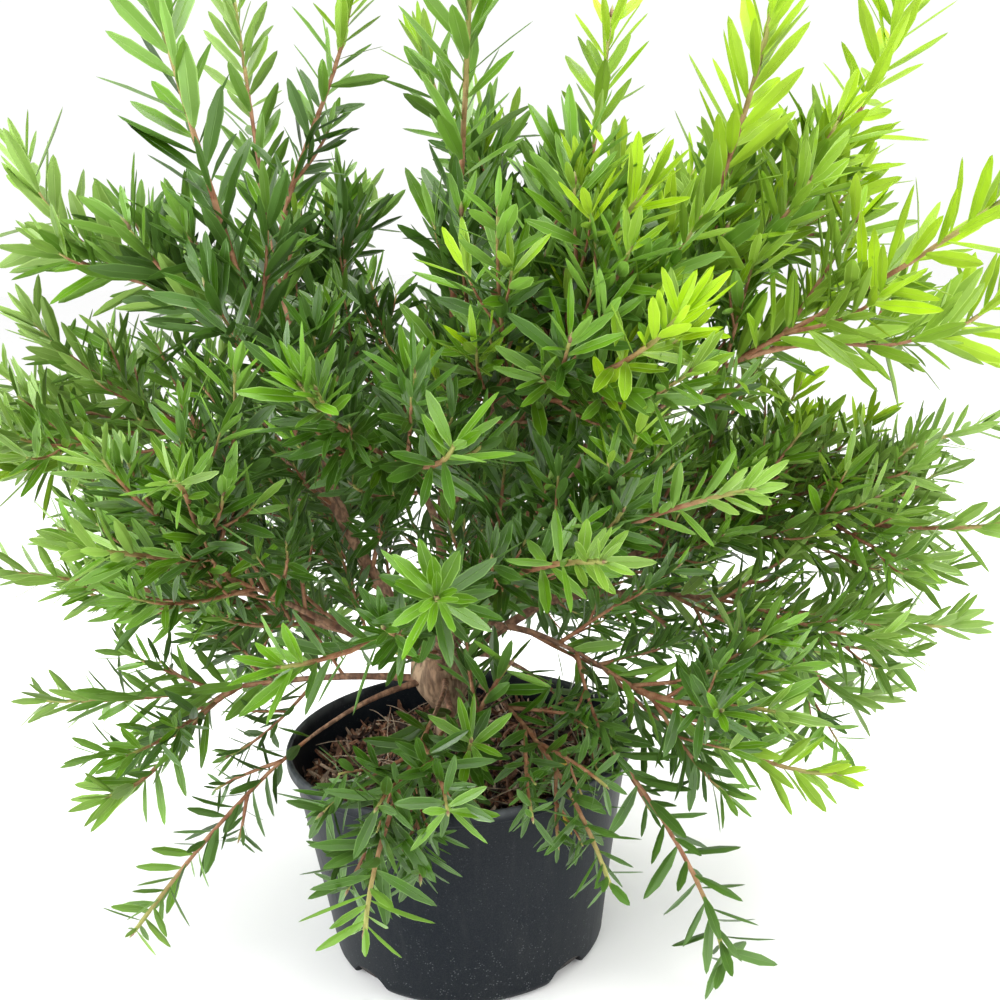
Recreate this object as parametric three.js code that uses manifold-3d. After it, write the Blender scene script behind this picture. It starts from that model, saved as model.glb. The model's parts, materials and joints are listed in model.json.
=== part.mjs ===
// A bushy bottlebrush shrub in a squat nursery pot, in millimetres, +Z up.
// The origin is the centre of the pot's flat underside; -Y is the front of the plant.
// Every limb is one tapering curve: its lower stretch is a bough, its upper one the stem of a mass.

import * as THREE from "three";
import { mergeVertices } from "three/addons/utils/BufferGeometryUtils.js";
import Module from "manifold-3d";

const wasm = await Module();
wasm.setup();

// ---- Driving dimensions ----

const GAP = 0.3; // between pieces that touch on the real plant

const POT = {
  height: 178,
  rimRadius: 142,
  lipHeight: 10,
  lipProud: 4.5,
  lipEdge: 3,
  footRadius: 113,
  footRound: 10,
  wall: 2.2,
  floor: 2.6,
  segments: 32,
};
const NOTCH = { count: 4, firstAzimuth: 45, radius: 23, centreHeight: -6, length: 34, sides: 18 };
const FILL = { level: 158, edgeDrop: 8, leftDrop: 9, bump: 2.2, rings: 2, shelf: 34 };

const TRUNK = {
  footX: -8,
  footY: 30,
  forkX: -14,
  forkY: 34,
  forkHeight: 222,
  footRadius: 20,
  waistRadius: 12.5,
  burlRadius: 25,
  knobs: 0.09,
  segments: 12,
};

// A limb's lower share is its bough. A side bough's first heading leans towards its parent's.
const BOUGH = {
  share: 0.4,
  endRadius: 3.4,
  sides: 5,
  steps: 4,
  handle: 0.36,
  parentPull: 0.35,
  ofParent: 0.82,
  pointEvery: 3,
};
const LEADER = {
  startRadius: 3.4,
  tipRadius: 1.7,
  sides: 3,
  steps: 3,
  stations: 26,
  forkAfter: 0.1,
  leafyFrom: 0.2,
  forkLeafyFrom: 0.35,
};
const TWIG = {
  perLeader: 2,
  first: 0.14,
  last: 0.66,
  spread: 48,
  longest: 125,
  shortest: 45,
  radius: 1.6,
  tipRadius: 1.2,
  sides: 3,
  lift: 0.14,
  steps: 1,
  stations: 9,
  jitter: 0.08,
  shortening: 0.35,
  cut: 0.8,
  leafyFrom: 0.3,
};
const LEAF = {
  length: 120,
  tipLength: 62,
  widthShare: 0.27,
  thickShare: 0.016,
  widest: 0.4,
  spread: 52,
  tipSpread: 30,
  sunk: 0.5,
  apart: 7.6,
  shrunk: 0.66,
  lengthRange: [0.88, 1.08],
  spreadJitter: 12,
  lastShare: 0.985,
  rows: 5,
  onLeader: 5,
  onFork: 4,
  onTwig: 3,
};
const GOLDEN_ANGLE = 137.5;
const SPACE = { margin: 2.4, limbClear: 2.6, potClear: 4, groundClear: 14, forkClear: 9 };

// How each kind of limb leaves the burl and how its tip ends, as angles above the horizon, its
// radius there, and how far above the fork it starts.
const KIND = {
  upright: { rise: 54, end: 78, radius: 4.9, lift: 6 },
  high: { rise: 52, end: 38, radius: 4.2, lift: 0 },
  middle: { rise: 34, end: 14, radius: 4.2, lift: -2 },
  low: { rise: 10, end: 4, radius: 3.6, lift: -12 },
  drooping: { rise: 30, end: -58, radius: 3, lift: -8 },
};

// Each limb: its kind, what it grows from (the trunk, or a share of the way along another limb),
// and its tips as [azimuth from +X, reach from the pot's axis, height]. A limb may have a rise or
// end of its own, and a turn, by which it starts out to one side of the way to its tip.
const LIMBS = {
  left_upright: { kind: "upright", tips: [[-161, 187, 755], [178, 300, 645]] },
  centre_upright: { kind: "upright", rise: 84, tips: [[-65, 90, 745], [-55, 170, 620]] },
  right_upright: { kind: "upright", tips: [[-14, 252, 737], [8, 365, 730]] },
  back_upright: { kind: "upright", tips: [[50, 245, 755], [92, 190, 735]] },
  left_middle: { kind: "middle", tips: [[-177, 355, 340], [157, 355, 375]] },
  left_low: { kind: "low", tips: [[171, 365, 200], [-174, 285, 150]] },
  front_centre: { kind: "middle", rise: 30, tips: [[-89, 300, 390], [-113, 248, 328]] },
  front_right: { kind: "middle", rise: 50, tips: [[-70, 288, 398], [-44, 275, 417]] },
  right_middle: { kind: "middle", tips: [[8, 455, 405], [-4, 435, 345]] },
  front_drooping: { kind: "drooping", rise: 16, turn: 14, tips: [[-105, 228, 140]] },
  front_low: { kind: "low", rise: -2, end: 50, tips: [[-84, 130, 228], [-58, 82, 262]] },
  left_drooping: { kind: "drooping", rise: 6, end: -44, tips: [[-156, 272, 78]] },
  rim_drooping: { kind: "drooping", rise: 24, tips: [[-58, 200, 135]] },
  right_drooping: { kind: "drooping", rise: 58, end: -80, tips: [[-33, 232, 40]] },
  back_left_middle: { kind: "middle", tips: [[130, 350, 400], [112, 345, 320]] },
  back_right_middle: { kind: "middle", tips: [[78, 350, 420], [48, 375, 370]] },
  back_left_upright: {
    kind: "upright",
    from: ["left_upright", 0.24],
    tips: [[137, 220, 780], [118, 125, 770]],
  },
  left_high: { kind: "high", from: ["left_upright", 0.3], tips: [[168, 378, 485], [-175, 345, 430]] },
  left_front: { kind: "middle", from: ["left_middle", 0.22], tips: [[-141, 292, 395], [-125, 268, 445]] },
  front_high: { kind: "high", from: ["centre_upright", 0.2], tips: [[-107, 240, 500], [-86, 238, 462]] },
  front_right_high: { kind: "high", from: ["centre_upright", 0.3], tips: [[-58, 282, 532], [-50, 215, 600]] },
  right_high: { kind: "high", from: ["right_upright", 0.26], tips: [[-19, 400, 590], [2, 435, 512]] },
  right_low: { kind: "low", from: ["right_middle", 0.2], tips: [[-4, 392, 262], [10, 368, 168]] },
  right_front_low: { kind: "low", from: ["front_right", 0.2], tips: [[-18, 300, 172], [-34, 272, 250]] },
  back_left_high: { kind: "high", from: ["back_upright", 0.24], tips: [[138, 322, 565], [112, 300, 610]] },
  back_right_high: { kind: "high", from: ["back_upright", 0.32], tips: [[66, 325, 600], [34, 365, 560]] },
  back_left_low: { kind: "low", from: ["back_left_middle", 0.2], tips: [[140, 330, 215], [116, 320, 185]] },
  back_right_low: { kind: "low", from: ["back_right_middle", 0.2], tips: [[72, 325, 190], [38, 350, 225]] },
};

// ---- Small helpers ----

const UP = new THREE.Vector3(0, 0, 1);
const radians = THREE.MathUtils.degToRad;
const lerp = THREE.MathUtils.lerp;

// A repeatable number from 0 to 1 for a seed and a counter.
function chance(seed, index) {
  const value = Math.sin(seed * 12.9898 + index * 78.233) * 43758.5453;
  return value - Math.floor(value);
}

// A unit vector that points to an azimuth and an elevation, both in degrees.
function heading(azimuth, elevation) {
  const flat = Math.cos(radians(elevation));
  const x = flat * Math.cos(radians(azimuth));
  const y = flat * Math.sin(radians(azimuth));
  return new THREE.Vector3(x, y, Math.sin(radians(elevation)));
}

// The direction that is turned by an angle, in radians, from one direction to another square to it.
function between(first, second, angle) {
  return first.clone().multiplyScalar(Math.cos(angle)).addScaledVector(second, Math.sin(angle));
}

// A solid for joining and cutting, from a closed geometry.
function solidOf(geometry) {
  const bare = geometry.clone();
  bare.deleteAttribute("normal");
  bare.deleteAttribute("uv");
  const merged = mergeVertices(bare, 1e-4);
  const vertProperties = merged.getAttribute("position").array;
  const triVerts = new Uint32Array(merged.index.array);
  return new wasm.Manifold(new wasm.Mesh({ numProp: 3, vertProperties, triVerts }));
}

// The geometry of a solid, without the small scraps that a cut may leave loose.
function geometryOf(solid) {
  const pieces = solid.decompose().sort((a, b) => b.volume() - a.volume());
  const mesh = pieces[0].getMesh();
  const geometry = new THREE.BufferGeometry();
  geometry.setAttribute("position", new THREE.BufferAttribute(new Float32Array(mesh.vertProperties), 3));
  geometry.setIndex(new THREE.BufferAttribute(new Uint32Array(mesh.triVerts), 1));
  geometry.computeVertexNormals();
  return geometry;
}

// ---- Pot and filling ----

// The outer wall's radius at a height above the foot.
function wallRadius(height) {
  const lipFoot = POT.height - POT.lipHeight;
  const share = (height - POT.footRound) / (lipFoot - POT.footRound);
  return lerp(POT.footRadius, POT.rimRadius - POT.lipProud, share);
}

// Points round the foot's outer edge, from the underside to the wall.
function footArc() {
  const steps = 2;
  const points = [];
  for (let i = 0; i <= steps; i += 1) {
    const turn = (Math.PI / 2) * (i / steps);
    const x = POT.footRadius - POT.footRound + POT.footRound * Math.sin(turn);
    points.push(new THREE.Vector2(x, POT.footRound * (1 - Math.cos(turn))));
  }
  return points;
}

// The pot's turned section, up the outside, over the rolled lip and down the inside.
function potGeometry() {
  const lipFoot = POT.height - POT.lipHeight;
  const { rimRadius, lipEdge, height, wall, floor } = POT;
  const section = [
    new THREE.Vector2(0, 0),
    ...footArc(),
    new THREE.Vector2(wallRadius(lipFoot), lipFoot),
    new THREE.Vector2(rimRadius, lipFoot + lipEdge * 0.6),
    new THREE.Vector2(rimRadius, height - lipEdge),
    new THREE.Vector2(rimRadius - lipEdge * 0.5, height),
    new THREE.Vector2(rimRadius - lipEdge * 1.5, height),
    new THREE.Vector2(wallRadius(height) - wall - 1, height - lipEdge),
    new THREE.Vector2(wallRadius(POT.footRound) - wall, POT.footRound),
    new THREE.Vector2(POT.footRadius - POT.footRound, floor),
    new THREE.Vector2(0, floor),
  ];
  const turned = new THREE.LatheGeometry(section, POT.segments);
  turned.rotateX(Math.PI / 2);
  return turned;
}

// The pot with its scooped drain holes cut through the rounded foot.
function potSolid() {
  let solid = solidOf(potGeometry());
  for (let i = 0; i < NOTCH.count; i += 1) {
    const azimuth = radians(NOTCH.firstAzimuth + (360 / NOTCH.count) * i);
    const scoop = new THREE.CylinderGeometry(NOTCH.radius, NOTCH.radius, NOTCH.length, NOTCH.sides);
    scoop.rotateZ(Math.PI / 2);
    scoop.translate(POT.footRadius, 0, NOTCH.centreHeight);
    scoop.rotateZ(azimuth);
    solid = solid.subtract(solidOf(scoop));
  }
  return solid;
}

// The height of the bark mulch over a place: crowned in the middle, lower at the left, uneven.
function mulchHeight(x, y) {
  const out = Math.hypot(x, y) / POT.footRadius;
  const away = Math.hypot(x - TRUNK.footX, y - TRUNK.footY);
  const crown = FILL.level - FILL.edgeDrop * out * out;
  const tilt = FILL.leftDrop * Math.min(0, x / POT.footRadius);
  const lumps = FILL.bump * Math.sin(x * 0.09 + 1) * Math.cos(y * 0.11);
  const shelf = THREE.MathUtils.smoothstep(away, FILL.shelf * 0.7, FILL.shelf * 1.5);
  return lerp(FILL.level, crown + tilt + lumps, shelf);
}

// The root ball that fills the pot, topped with bark mulch, with a level seat under the trunk.
function fillSolid() {
  const brim = wallRadius(FILL.level) - POT.wall - GAP * 2;
  const floorEdge = POT.footRadius - POT.footRound;
  const section = [
    new THREE.Vector2(0, POT.floor + GAP),
    new THREE.Vector2(floorEdge - GAP, POT.floor + GAP),
    new THREE.Vector2(wallRadius(POT.footRound) - POT.wall - GAP * 2, POT.footRound),
    new THREE.Vector2(brim, FILL.level),
  ];
  for (let i = FILL.rings; i >= 0; i -= 1) {
    section.push(new THREE.Vector2((brim * i) / (FILL.rings + 1), FILL.level));
  }
  const turned = new THREE.LatheGeometry(section, POT.segments);
  turned.rotateX(Math.PI / 2);
  const place = turned.getAttribute("position");
  for (let i = 0; i < place.count; i += 1) {
    if (place.getZ(i) < FILL.level - 1) continue;
    const height = mulchHeight(place.getX(i), place.getY(i));
    const edge = Math.hypot(place.getX(i), place.getY(i)) / brim;
    const pull = edge > 0.99 ? (wallRadius(height) - POT.wall - GAP * 2) / brim : 1;
    place.setXYZ(i, place.getX(i) * pull, place.getY(i) * pull, height);
  }
  const ball = solidOf(turned);
  return ball.subtract(trunkSeat());
}

// ---- Trunk ----

// The trunk's radius up its height: root flare, waist, then the burl that the boughs leave.
function trunkSection(swell) {
  const foot = FILL.level + GAP;
  const rise = TRUNK.forkHeight - FILL.level;
  const profile = [
    [TRUNK.footRadius, 0],
    [TRUNK.waistRadius * 1.22, 0.1],
    [TRUNK.waistRadius, 0.3],
    [TRUNK.waistRadius * 1.06, 0.5],
    [TRUNK.burlRadius * 0.88, 0.78],
    [TRUNK.burlRadius, 1],
    [TRUNK.burlRadius * 0.86, 1.2],
    [TRUNK.burlRadius * 0.45, 1.34],
  ];
  const points = profile.map(([radius, share]) => {
    const lifted = share > 1 ? swell : 0;
    return new THREE.Vector2(radius + swell * 1.3, foot + rise * share + lifted);
  });
  const top = foot + rise * 1.38 + swell * 1.3;
  return [new THREE.Vector2(0, foot), ...points, new THREE.Vector2(0, top)];
}

// The trunk's solid, knobbly and leaning from its foot to its fork, grown outward by swell.
function trunkSolid(swell) {
  const turned = new THREE.LatheGeometry(trunkSection(swell), TRUNK.segments);
  turned.rotateX(Math.PI / 2);
  const place = turned.getAttribute("position");
  for (let i = 0; i < place.count; i += 1) {
    const share = (place.getZ(i) - FILL.level) / (TRUNK.forkHeight - FILL.level);
    const round = Math.atan2(place.getY(i), place.getX(i));
    const knob = 1 + TRUNK.knobs * Math.sin(3 * round + 4 * share) * Math.sin(2 * round + 1);
    const x = place.getX(i) * knob + lerp(TRUNK.footX, TRUNK.forkX, share);
    const y = place.getY(i) * knob + lerp(TRUNK.footY, TRUNK.forkY, share);
    place.setXYZ(i, x, y, place.getZ(i));
  }
  return solidOf(turned);
}

// A shallow disc that takes the mulch away under the trunk's foot, so that the seat is level.
function trunkSeat() {
  const depth = 6;
  const disc = new THREE.CylinderGeometry(FILL.shelf, FILL.shelf, depth, POT.segments);
  disc.rotateX(Math.PI / 2);
  disc.translate(TRUNK.footX, TRUNK.footY, FILL.level + depth / 2);
  return solidOf(disc);
}

// ---- Limbs ----

// A growing line: a cubic curve from a place and heading to a tip and its heading.
class Shoot {
  constructor(start, startHeading, tip, tipHeading) {
    const handle = start.distanceTo(tip) * BOUGH.handle;
    const first = start.clone().addScaledVector(startHeading, handle);
    const second = tip.clone().addScaledVector(tipHeading, -handle);
    this.curve = new THREE.CubicBezierCurve3(start, first, second, tip);
    this.length = this.curve.getLength();
    this.across = new THREE.Vector3().crossVectors(startHeading, tip.clone().sub(start));
    if (this.across.length() < 1e-3 * this.length) this.across.crossVectors(startHeading, UP);
    if (this.across.length() < 1e-3) this.across.set(1, 0, 0);
    this.across.normalize();
  }

  // The place on the line, and three directions at right angles there: along, side and over.
  at(share) {
    const place = this.curve.getPoint(share);
    const along = this.curve.getTangent(share);
    const side = this.across.clone().addScaledVector(along, -this.across.dot(along)).normalize();
    const over = new THREE.Vector3().crossVectors(along, side);
    return { place, along, side, over };
  }

  // The middle of a tube with so many steps from a share on, which cuts the line's corners.
  inTube(share, from, steps) {
    const step = ((share - from) / (1 - from)) * steps;
    const ring = Math.min(Math.floor(step), steps - 1);
    const low = this.curve.getPoint(lerp(from, 1, ring / steps));
    const high = this.curve.getPoint(lerp(from, 1, (ring + 1) / steps));
    return low.lerp(high, step - ring);
  }

  // The direction that stands off the line at a turn about it, in degrees.
  radial(share, turn) {
    const { side, over } = this.at(share);
    return between(side, over, radians(turn));
  }

  // A closed tapering tube over a stretch of the line: a cylinder bent so that its rings follow it.
  tube(from, to, startRadius, endRadius, sides, steps) {
    const bent = new THREE.CylinderGeometry(endRadius, startRadius, 1, sides, steps);
    const place = bent.getAttribute("position");
    for (let i = 0; i < place.count; i += 1) {
      const frame = this.at(lerp(from, to, place.getY(i) + 0.5));
      const point = frame.place
        .addScaledVector(frame.side, place.getX(i))
        .addScaledVector(frame.over, -place.getZ(i));
      place.setXYZ(i, point.x, point.y, point.z);
    }
    return solidOf(bent);
  }
}

// The place of a tip given as azimuth, reach and height.
function tipPlace([azimuth, reach, height]) {
  return heading(azimuth, 0).multiplyScalar(reach).setZ(height);
}

// The full line of a limb, from the burl or from the limb that it grows from to its first tip.
function growLimb(limb, grown) {
  const kind = KIND[limb.kind];
  const tip = tipPlace(limb.tips[0]);
  const start = new THREE.Vector3(TRUNK.forkX, TRUNK.forkY, TRUNK.forkHeight + kind.lift);
  let parentRadius = TRUNK.burlRadius;
  let parentAlong = UP;
  if (limb.from) {
    const [parent, share] = limb.from;
    const frame = grown[parent].shoot.at(share);
    start.copy(frame.place);
    parentAlong = frame.along;
    parentRadius = grown[parent].radiusAt(share);
  }
  const outward = tip.clone().sub(start);
  const azimuth = THREE.MathUtils.radToDeg(Math.atan2(outward.y, outward.x));
  const startHeading = heading(azimuth + (limb.turn ?? 0), limb.rise ?? kind.rise);
  if (limb.from) startHeading.addScaledVector(parentAlong, BOUGH.parentPull).normalize();
  const shoot = new Shoot(start, startHeading, tip, heading(azimuth, limb.end ?? kind.end));
  const radius = limb.from ? Math.min(kind.radius, parentRadius * BOUGH.ofParent) : kind.radius;
  const radiusAt = (share) => lerp(radius, BOUGH.endRadius, share / BOUGH.share);
  return { shoot, radius, radiusAt };
}

// The leading shoots of a mass: on along the limb, and a second one that forks off to its own tip.
function growLeaders(limb, shoot) {
  const stemStart = BOUGH.share + GAP / shoot.length;
  const leaders = [{ shoot, from: stemStart }];
  if (limb.tips.length > 1) {
    const { place, along } = shoot.at(BOUGH.share + LEADER.forkAfter);
    const tip = tipPlace(limb.tips[1]);
    const outward = tip.clone().sub(place).normalize();
    const startHeading = along.clone().add(outward).normalize();
    const azimuth = THREE.MathUtils.radToDeg(Math.atan2(outward.y, outward.x));
    const end = heading(azimuth, limb.end ?? KIND[limb.kind].end);
    leaders.push({ shoot: new Shoot(place, startHeading, tip, end), from: 0 });
  }
  return leaders;
}

// ---- Space of each mass ----

// Every limb's line and every leader as rows of points, which share out the space between them.
class Crown {
  constructor() {
    this.limbs = {};
    this.leaders = {};
    this.stations = [];
    Object.entries(LIMBS).forEach(([name, limb]) => {
      this.limbs[name] = growLimb(limb, this.limbs);
      this.leaders[name] = growLeaders(limb, this.limbs[name].shoot);
    });
    Object.entries(this.leaders).forEach(([name, leaders]) => {
      leaders.forEach(({ shoot, from }) => {
        for (let i = 0; i <= LEADER.stations; i += 1) {
          this.stations.push({ name, place: shoot.curve.getPoint(lerp(from, 1, i / LEADER.stations)) });
        }
      });
    });
    this.limbPoints = [];
    Object.values(this.limbs).forEach(({ shoot, radiusAt }) => {
      const count = Math.ceil((shoot.length * BOUGH.share) / BOUGH.pointEvery);
      for (let i = 0; i <= count; i += 1) {
        const share = (BOUGH.share * i) / count;
        this.limbPoints.push({ place: shoot.curve.getPoint(share), radius: radiusAt(share) });
      }
    });
  }

  // Whether a point is in the mass's own space and clear of limbs, trunk, pot, mulch and ground.
  holds(name, point) {
    let own = Infinity;
    let other = Infinity;
    this.stations.forEach((station) => {
      const away = station.place.distanceTo(point);
      if (station.name === name) own = Math.min(own, away);
      else other = Math.min(other, away);
    });
    if (own + SPACE.margin > other) return false;
    if (point.z < SPACE.groundClear) return false;
    const touches = this.limbPoints.some(
      ({ place, radius }) => place.distanceTo(point) < radius + SPACE.limbClear,
    );
    if (touches) return false;
    return this.clearOfTrunk(point) && this.clearOfPot(point);
  }

  // Whether a point is outside an upright cylinder round the trunk and its burl.
  clearOfTrunk(point) {
    const out = Math.hypot(point.x - TRUNK.forkX, point.y - TRUNK.forkY);
    const reach = TRUNK.burlRadius + SPACE.forkClear;
    return out > reach || point.z > TRUNK.forkHeight + reach;
  }

  // Whether a point is outside the pot's wall, or above the mulch that fills it.
  clearOfPot(point) {
    const out = Math.hypot(point.x, point.y);
    if (point.z > POT.height + SPACE.potClear) return true;
    if (out > POT.rimRadius + SPACE.potClear) return true;
    const inside = out < POT.rimRadius - POT.lipProud - POT.wall - SPACE.potClear * 2;
    return inside && point.z > mulchHeight(point.x, point.y) + SPACE.potClear;
  }
}

// ---- Masses of foliage ----

// A leaf of eight faces: an octahedron drawn out to a blade, widest below its middle.
function leafSolid(root, direction, normal, length) {
  const blade = new THREE.OctahedronGeometry(0.5);
  const place = blade.getAttribute("position");
  const side = new THREE.Vector3().crossVectors(normal, direction);
  for (let i = 0; i < place.count; i += 1) {
    const x = place.getX(i);
    const along = x > 0.1 ? length : x < -0.1 ? -LEAF.sunk : length * LEAF.widest;
    const point = root
      .clone()
      .addScaledVector(direction, along)
      .addScaledVector(side, place.getY(i) * length * LEAF.widthShare)
      .addScaledVector(normal, place.getZ(i) * length * LEAF.thickShare);
    place.setXYZ(i, point.x, point.y, point.z);
  }
  return solidOf(blade);
}

// Points over a leaf's outline, where its space is tested.
function leafPoints(root, direction, normal, length) {
  const side = new THREE.Vector3().crossVectors(direction, normal);
  const half = (length * LEAF.widthShare) / 2;
  const points = [];
  for (let i = 1; i <= LEAF.rows; i += 1) {
    const share = i / LEAF.rows;
    const taper = share < LEAF.widest ? share / LEAF.widest : (1 - share) / (1 - LEAF.widest);
    [-1, 0, 1].forEach((edge) => {
      const point = root.clone().addScaledVector(direction, length * share);
      points.push(point.addScaledVector(side, edge * half * taper));
    });
  }
  return points;
}

// One mass: leaders, twigs and leaves, fused; what would leave the mass's own space is skipped.
class Mass {
  constructor(name, crown, seed) {
    this.name = name;
    this.crown = crown;
    this.seed = seed;
    this.shoots = [];
    this.solids = [];
    this.taken = [];
  }

  // Whether every point is in the mass's own space.
  free(points) {
    return points.every((point) => this.crown.holds(this.name, point));
  }

  // Whether a leaf stays in the space and its outer part crosses no leaf or shoot that is there.
  fits(outline) {
    const outer = outline.slice(3);
    const crosses = this.taken.some((other) => outer.some((point) => point.distanceTo(other) < LEAF.apart));
    return !crosses && this.free(outline);
  }

  // A leader or twig, with the number of leaves that it is to carry from a share of its length on.
  addShoot(shoot, from, steps, leafyFrom, leafCount, seed) {
    this.shoots.push({ shoot, from, steps, leafyFrom, leafCount, seed });
    for (let i = 1; i <= TWIG.stations; i += 1) {
      this.taken.push(shoot.curve.getPoint(lerp(from, 1, i / TWIG.stations)));
    }
  }

  // A twig that leaves a leader at a turn, cut back to the length that stays in the mass's space.
  addTwig(leader, index, seed) {
    const share = lerp(TWIG.first, TWIG.last, index / Math.max(1, TWIG.perLeader - 1));
    const at = lerp(leader.from, 1, share + TWIG.jitter * (chance(seed, 3) - 0.5));
    const { along } = leader.shoot.at(at);
    const place = leader.shoot.inTube(at, leader.from, LEADER.steps);
    const radial = leader.shoot.radial(at, GOLDEN_ANGLE * index + 360 * chance(seed, 4));
    const outward = between(along, radial, radians(TWIG.spread)).addScaledVector(UP, TWIG.lift).normalize();
    const longest = TWIG.longest * (1 - TWIG.shortening * share);
    for (let length = longest; length >= TWIG.shortest; length *= TWIG.cut) {
      const twig = new Shoot(place, outward, place.clone().addScaledVector(outward, length), outward);
      const points = [0.25, 0.5, 0.75, 1].map((part) => twig.curve.getPoint(part));
      if (!this.free(points)) continue;
      this.solids.push(twig.tube(0, 1, TWIG.radius, TWIG.tipRadius, TWIG.sides, TWIG.steps));
      this.addShoot(twig, 0, TWIG.steps, TWIG.leafyFrom, LEAF.onTwig, seed + 7);
      return;
    }
  }

  // Leaves in a spiral along a shoot, shorter and more forward towards its tip.
  addLeaves({ shoot, from, steps, leafyFrom, leafCount, seed }) {
    for (let i = 0; i < leafCount; i += 1) {
      const young = i / (leafCount - 1);
      const share = Math.min(lerp(leafyFrom, 1, young), LEAF.lastShare);
      const turn = GOLDEN_ANGLE * i + 360 * chance(seed, 1);
      const wander = LEAF.spreadJitter * (chance(seed, i + 2) - 0.5);
      const spread = radians(lerp(LEAF.spread, LEAF.tipSpread, young) + wander);
      const { along } = shoot.at(share);
      const place = shoot.inTube(share, from, steps);
      const radial = shoot.radial(share, turn);
      const direction = between(along, radial, spread);
      const normal = between(along, radial, spread - Math.PI / 2);
      const size = lerp(...LEAF.lengthRange, chance(seed, i + 40));
      const longest = lerp(LEAF.length, LEAF.tipLength, young) * size;
      const choices = [longest, longest * LEAF.shrunk];
      const length = choices.find((choice) => this.fits(leafPoints(place, direction, normal, choice)));
      if (!length) continue;
      this.solids.push(leafSolid(place, direction, normal, length));
      this.taken.push(...leafPoints(place, direction, normal, length).slice(3));
    }
  }

  solid() {
    this.crown.leaders[this.name].forEach((leader, number) => {
      const { shoot, from } = leader;
      const { startRadius, tipRadius, sides, steps } = LEADER;
      const seed = this.seed * 10 + number;
      this.solids.push(shoot.tube(from, 1, startRadius, tipRadius, sides, steps));
      const leafyFrom = lerp(from, 1, number ? LEADER.forkLeafyFrom : LEADER.leafyFrom);
      this.addShoot(shoot, from, steps, leafyFrom, number ? LEAF.onFork : LEAF.onLeader, seed);
      for (let i = 0; i < TWIG.perLeader; i += 1) this.addTwig(leader, i, seed * 5 + i + 1);
    });
    this.shoots.forEach((shoot) => this.addLeaves(shoot));
    return wasm.Manifold.union(this.solids);
  }
}

// ---- The plant ----

const FINISH = {
  pot: { color: 0x23262b, roughness: 0.55, metalness: 0 },
  mulch: { color: 0x4a2f22, roughness: 0.95, metalness: 0 },
  trunk: { color: 0x8a6a4c, roughness: 0.9, metalness: 0 },
  bough: { color: 0x7a4e36, roughness: 0.85, metalness: 0 },
  foliage: { color: 0x4f8f2e, roughness: 0.6, metalness: 0 },
};

function named(name, solid, finish) {
  const mesh = new THREE.Mesh(geometryOf(solid), new THREE.MeshStandardMaterial(finish));
  mesh.name = name;
  return mesh;
}

// A bough, trimmed to sit a gap clear of the trunk or of the bough that it grows from.
function boughSolid(name, crown) {
  const { shoot, radius } = crown.limbs[name];
  const limb = LIMBS[name];
  const rough = shoot.tube(0, BOUGH.share, radius, BOUGH.endRadius, BOUGH.sides, BOUGH.steps);
  if (!limb.from) return rough.subtract(trunkSolid(GAP));
  const parent = crown.limbs[limb.from[0]];
  const swollen = parent.shoot.tube(
    0,
    BOUGH.share,
    parent.radius + GAP,
    BOUGH.endRadius + GAP,
    BOUGH.sides,
    BOUGH.steps,
  );
  return rough.subtract(swollen).subtract(trunkSolid(GAP));
}

function buildPlant() {
  const plant = new THREE.Group();
  const crown = new Crown();
  plant.add(named("pot", potSolid(), FINISH.pot));
  plant.add(named("mulch", fillSolid(), FINISH.mulch));
  plant.add(named("trunk", trunkSolid(0), FINISH.trunk));
  Object.keys(LIMBS).forEach((name, index) => {
    plant.add(named(`bough_${name}`, boughSolid(name, crown), FINISH.bough));
    plant.add(named(`foliage_${name}`, new Mass(name, crown, index + 1).solid(), FINISH.foliage));
  });
  return plant;
}

export default buildPlant();
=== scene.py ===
"""A bushy bottlebrush shrub in a squat nursery pot, dressed for looks.

Metres, +Z up. The origin is the centre of the pot's flat underside and -Y is the plant's front.
"""

import itertools
import json
import logging
import math
from dataclasses import dataclass, field
from enum import Enum

import bpy
import numpy as np
from mathutils import Matrix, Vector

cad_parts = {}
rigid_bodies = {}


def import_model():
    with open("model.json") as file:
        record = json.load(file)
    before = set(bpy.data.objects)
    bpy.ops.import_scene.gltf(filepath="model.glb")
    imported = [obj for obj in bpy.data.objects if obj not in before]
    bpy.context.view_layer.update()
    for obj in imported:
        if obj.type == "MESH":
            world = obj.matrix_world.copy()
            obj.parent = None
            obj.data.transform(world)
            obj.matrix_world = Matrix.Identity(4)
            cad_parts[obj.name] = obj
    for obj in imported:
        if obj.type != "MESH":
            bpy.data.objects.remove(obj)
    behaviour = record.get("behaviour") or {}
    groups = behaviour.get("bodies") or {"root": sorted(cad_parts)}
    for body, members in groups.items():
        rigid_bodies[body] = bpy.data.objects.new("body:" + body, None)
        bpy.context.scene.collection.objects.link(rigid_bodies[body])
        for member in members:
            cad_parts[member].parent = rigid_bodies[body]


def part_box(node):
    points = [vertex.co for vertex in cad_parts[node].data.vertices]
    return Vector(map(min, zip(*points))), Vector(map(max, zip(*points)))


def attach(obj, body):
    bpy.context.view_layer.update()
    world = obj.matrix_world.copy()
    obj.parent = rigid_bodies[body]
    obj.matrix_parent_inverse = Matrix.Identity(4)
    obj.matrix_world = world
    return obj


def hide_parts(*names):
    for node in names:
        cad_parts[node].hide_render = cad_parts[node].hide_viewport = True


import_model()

log = logging.getLogger("bottlebrush")

BODY = "root"
RIGHT = np.array([1.0, 0.0, 0.0])
UP = np.array([0.0, 0.0, 1.0])
FLAT = np.array([1.0, 1.0, 0.0])  # drops the height of what it multiplies
GOLDEN_ANGLE = math.radians(137.5)
MOST_TRIANGLES = 190_000  # in one joined piece

Number = np.ndarray | float
Range = tuple[float, float]
Place = tuple[float, float, float]
Colour = tuple[float, float, float]
Stretch = tuple[float, float, float]


# ---- Numbers ----


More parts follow.
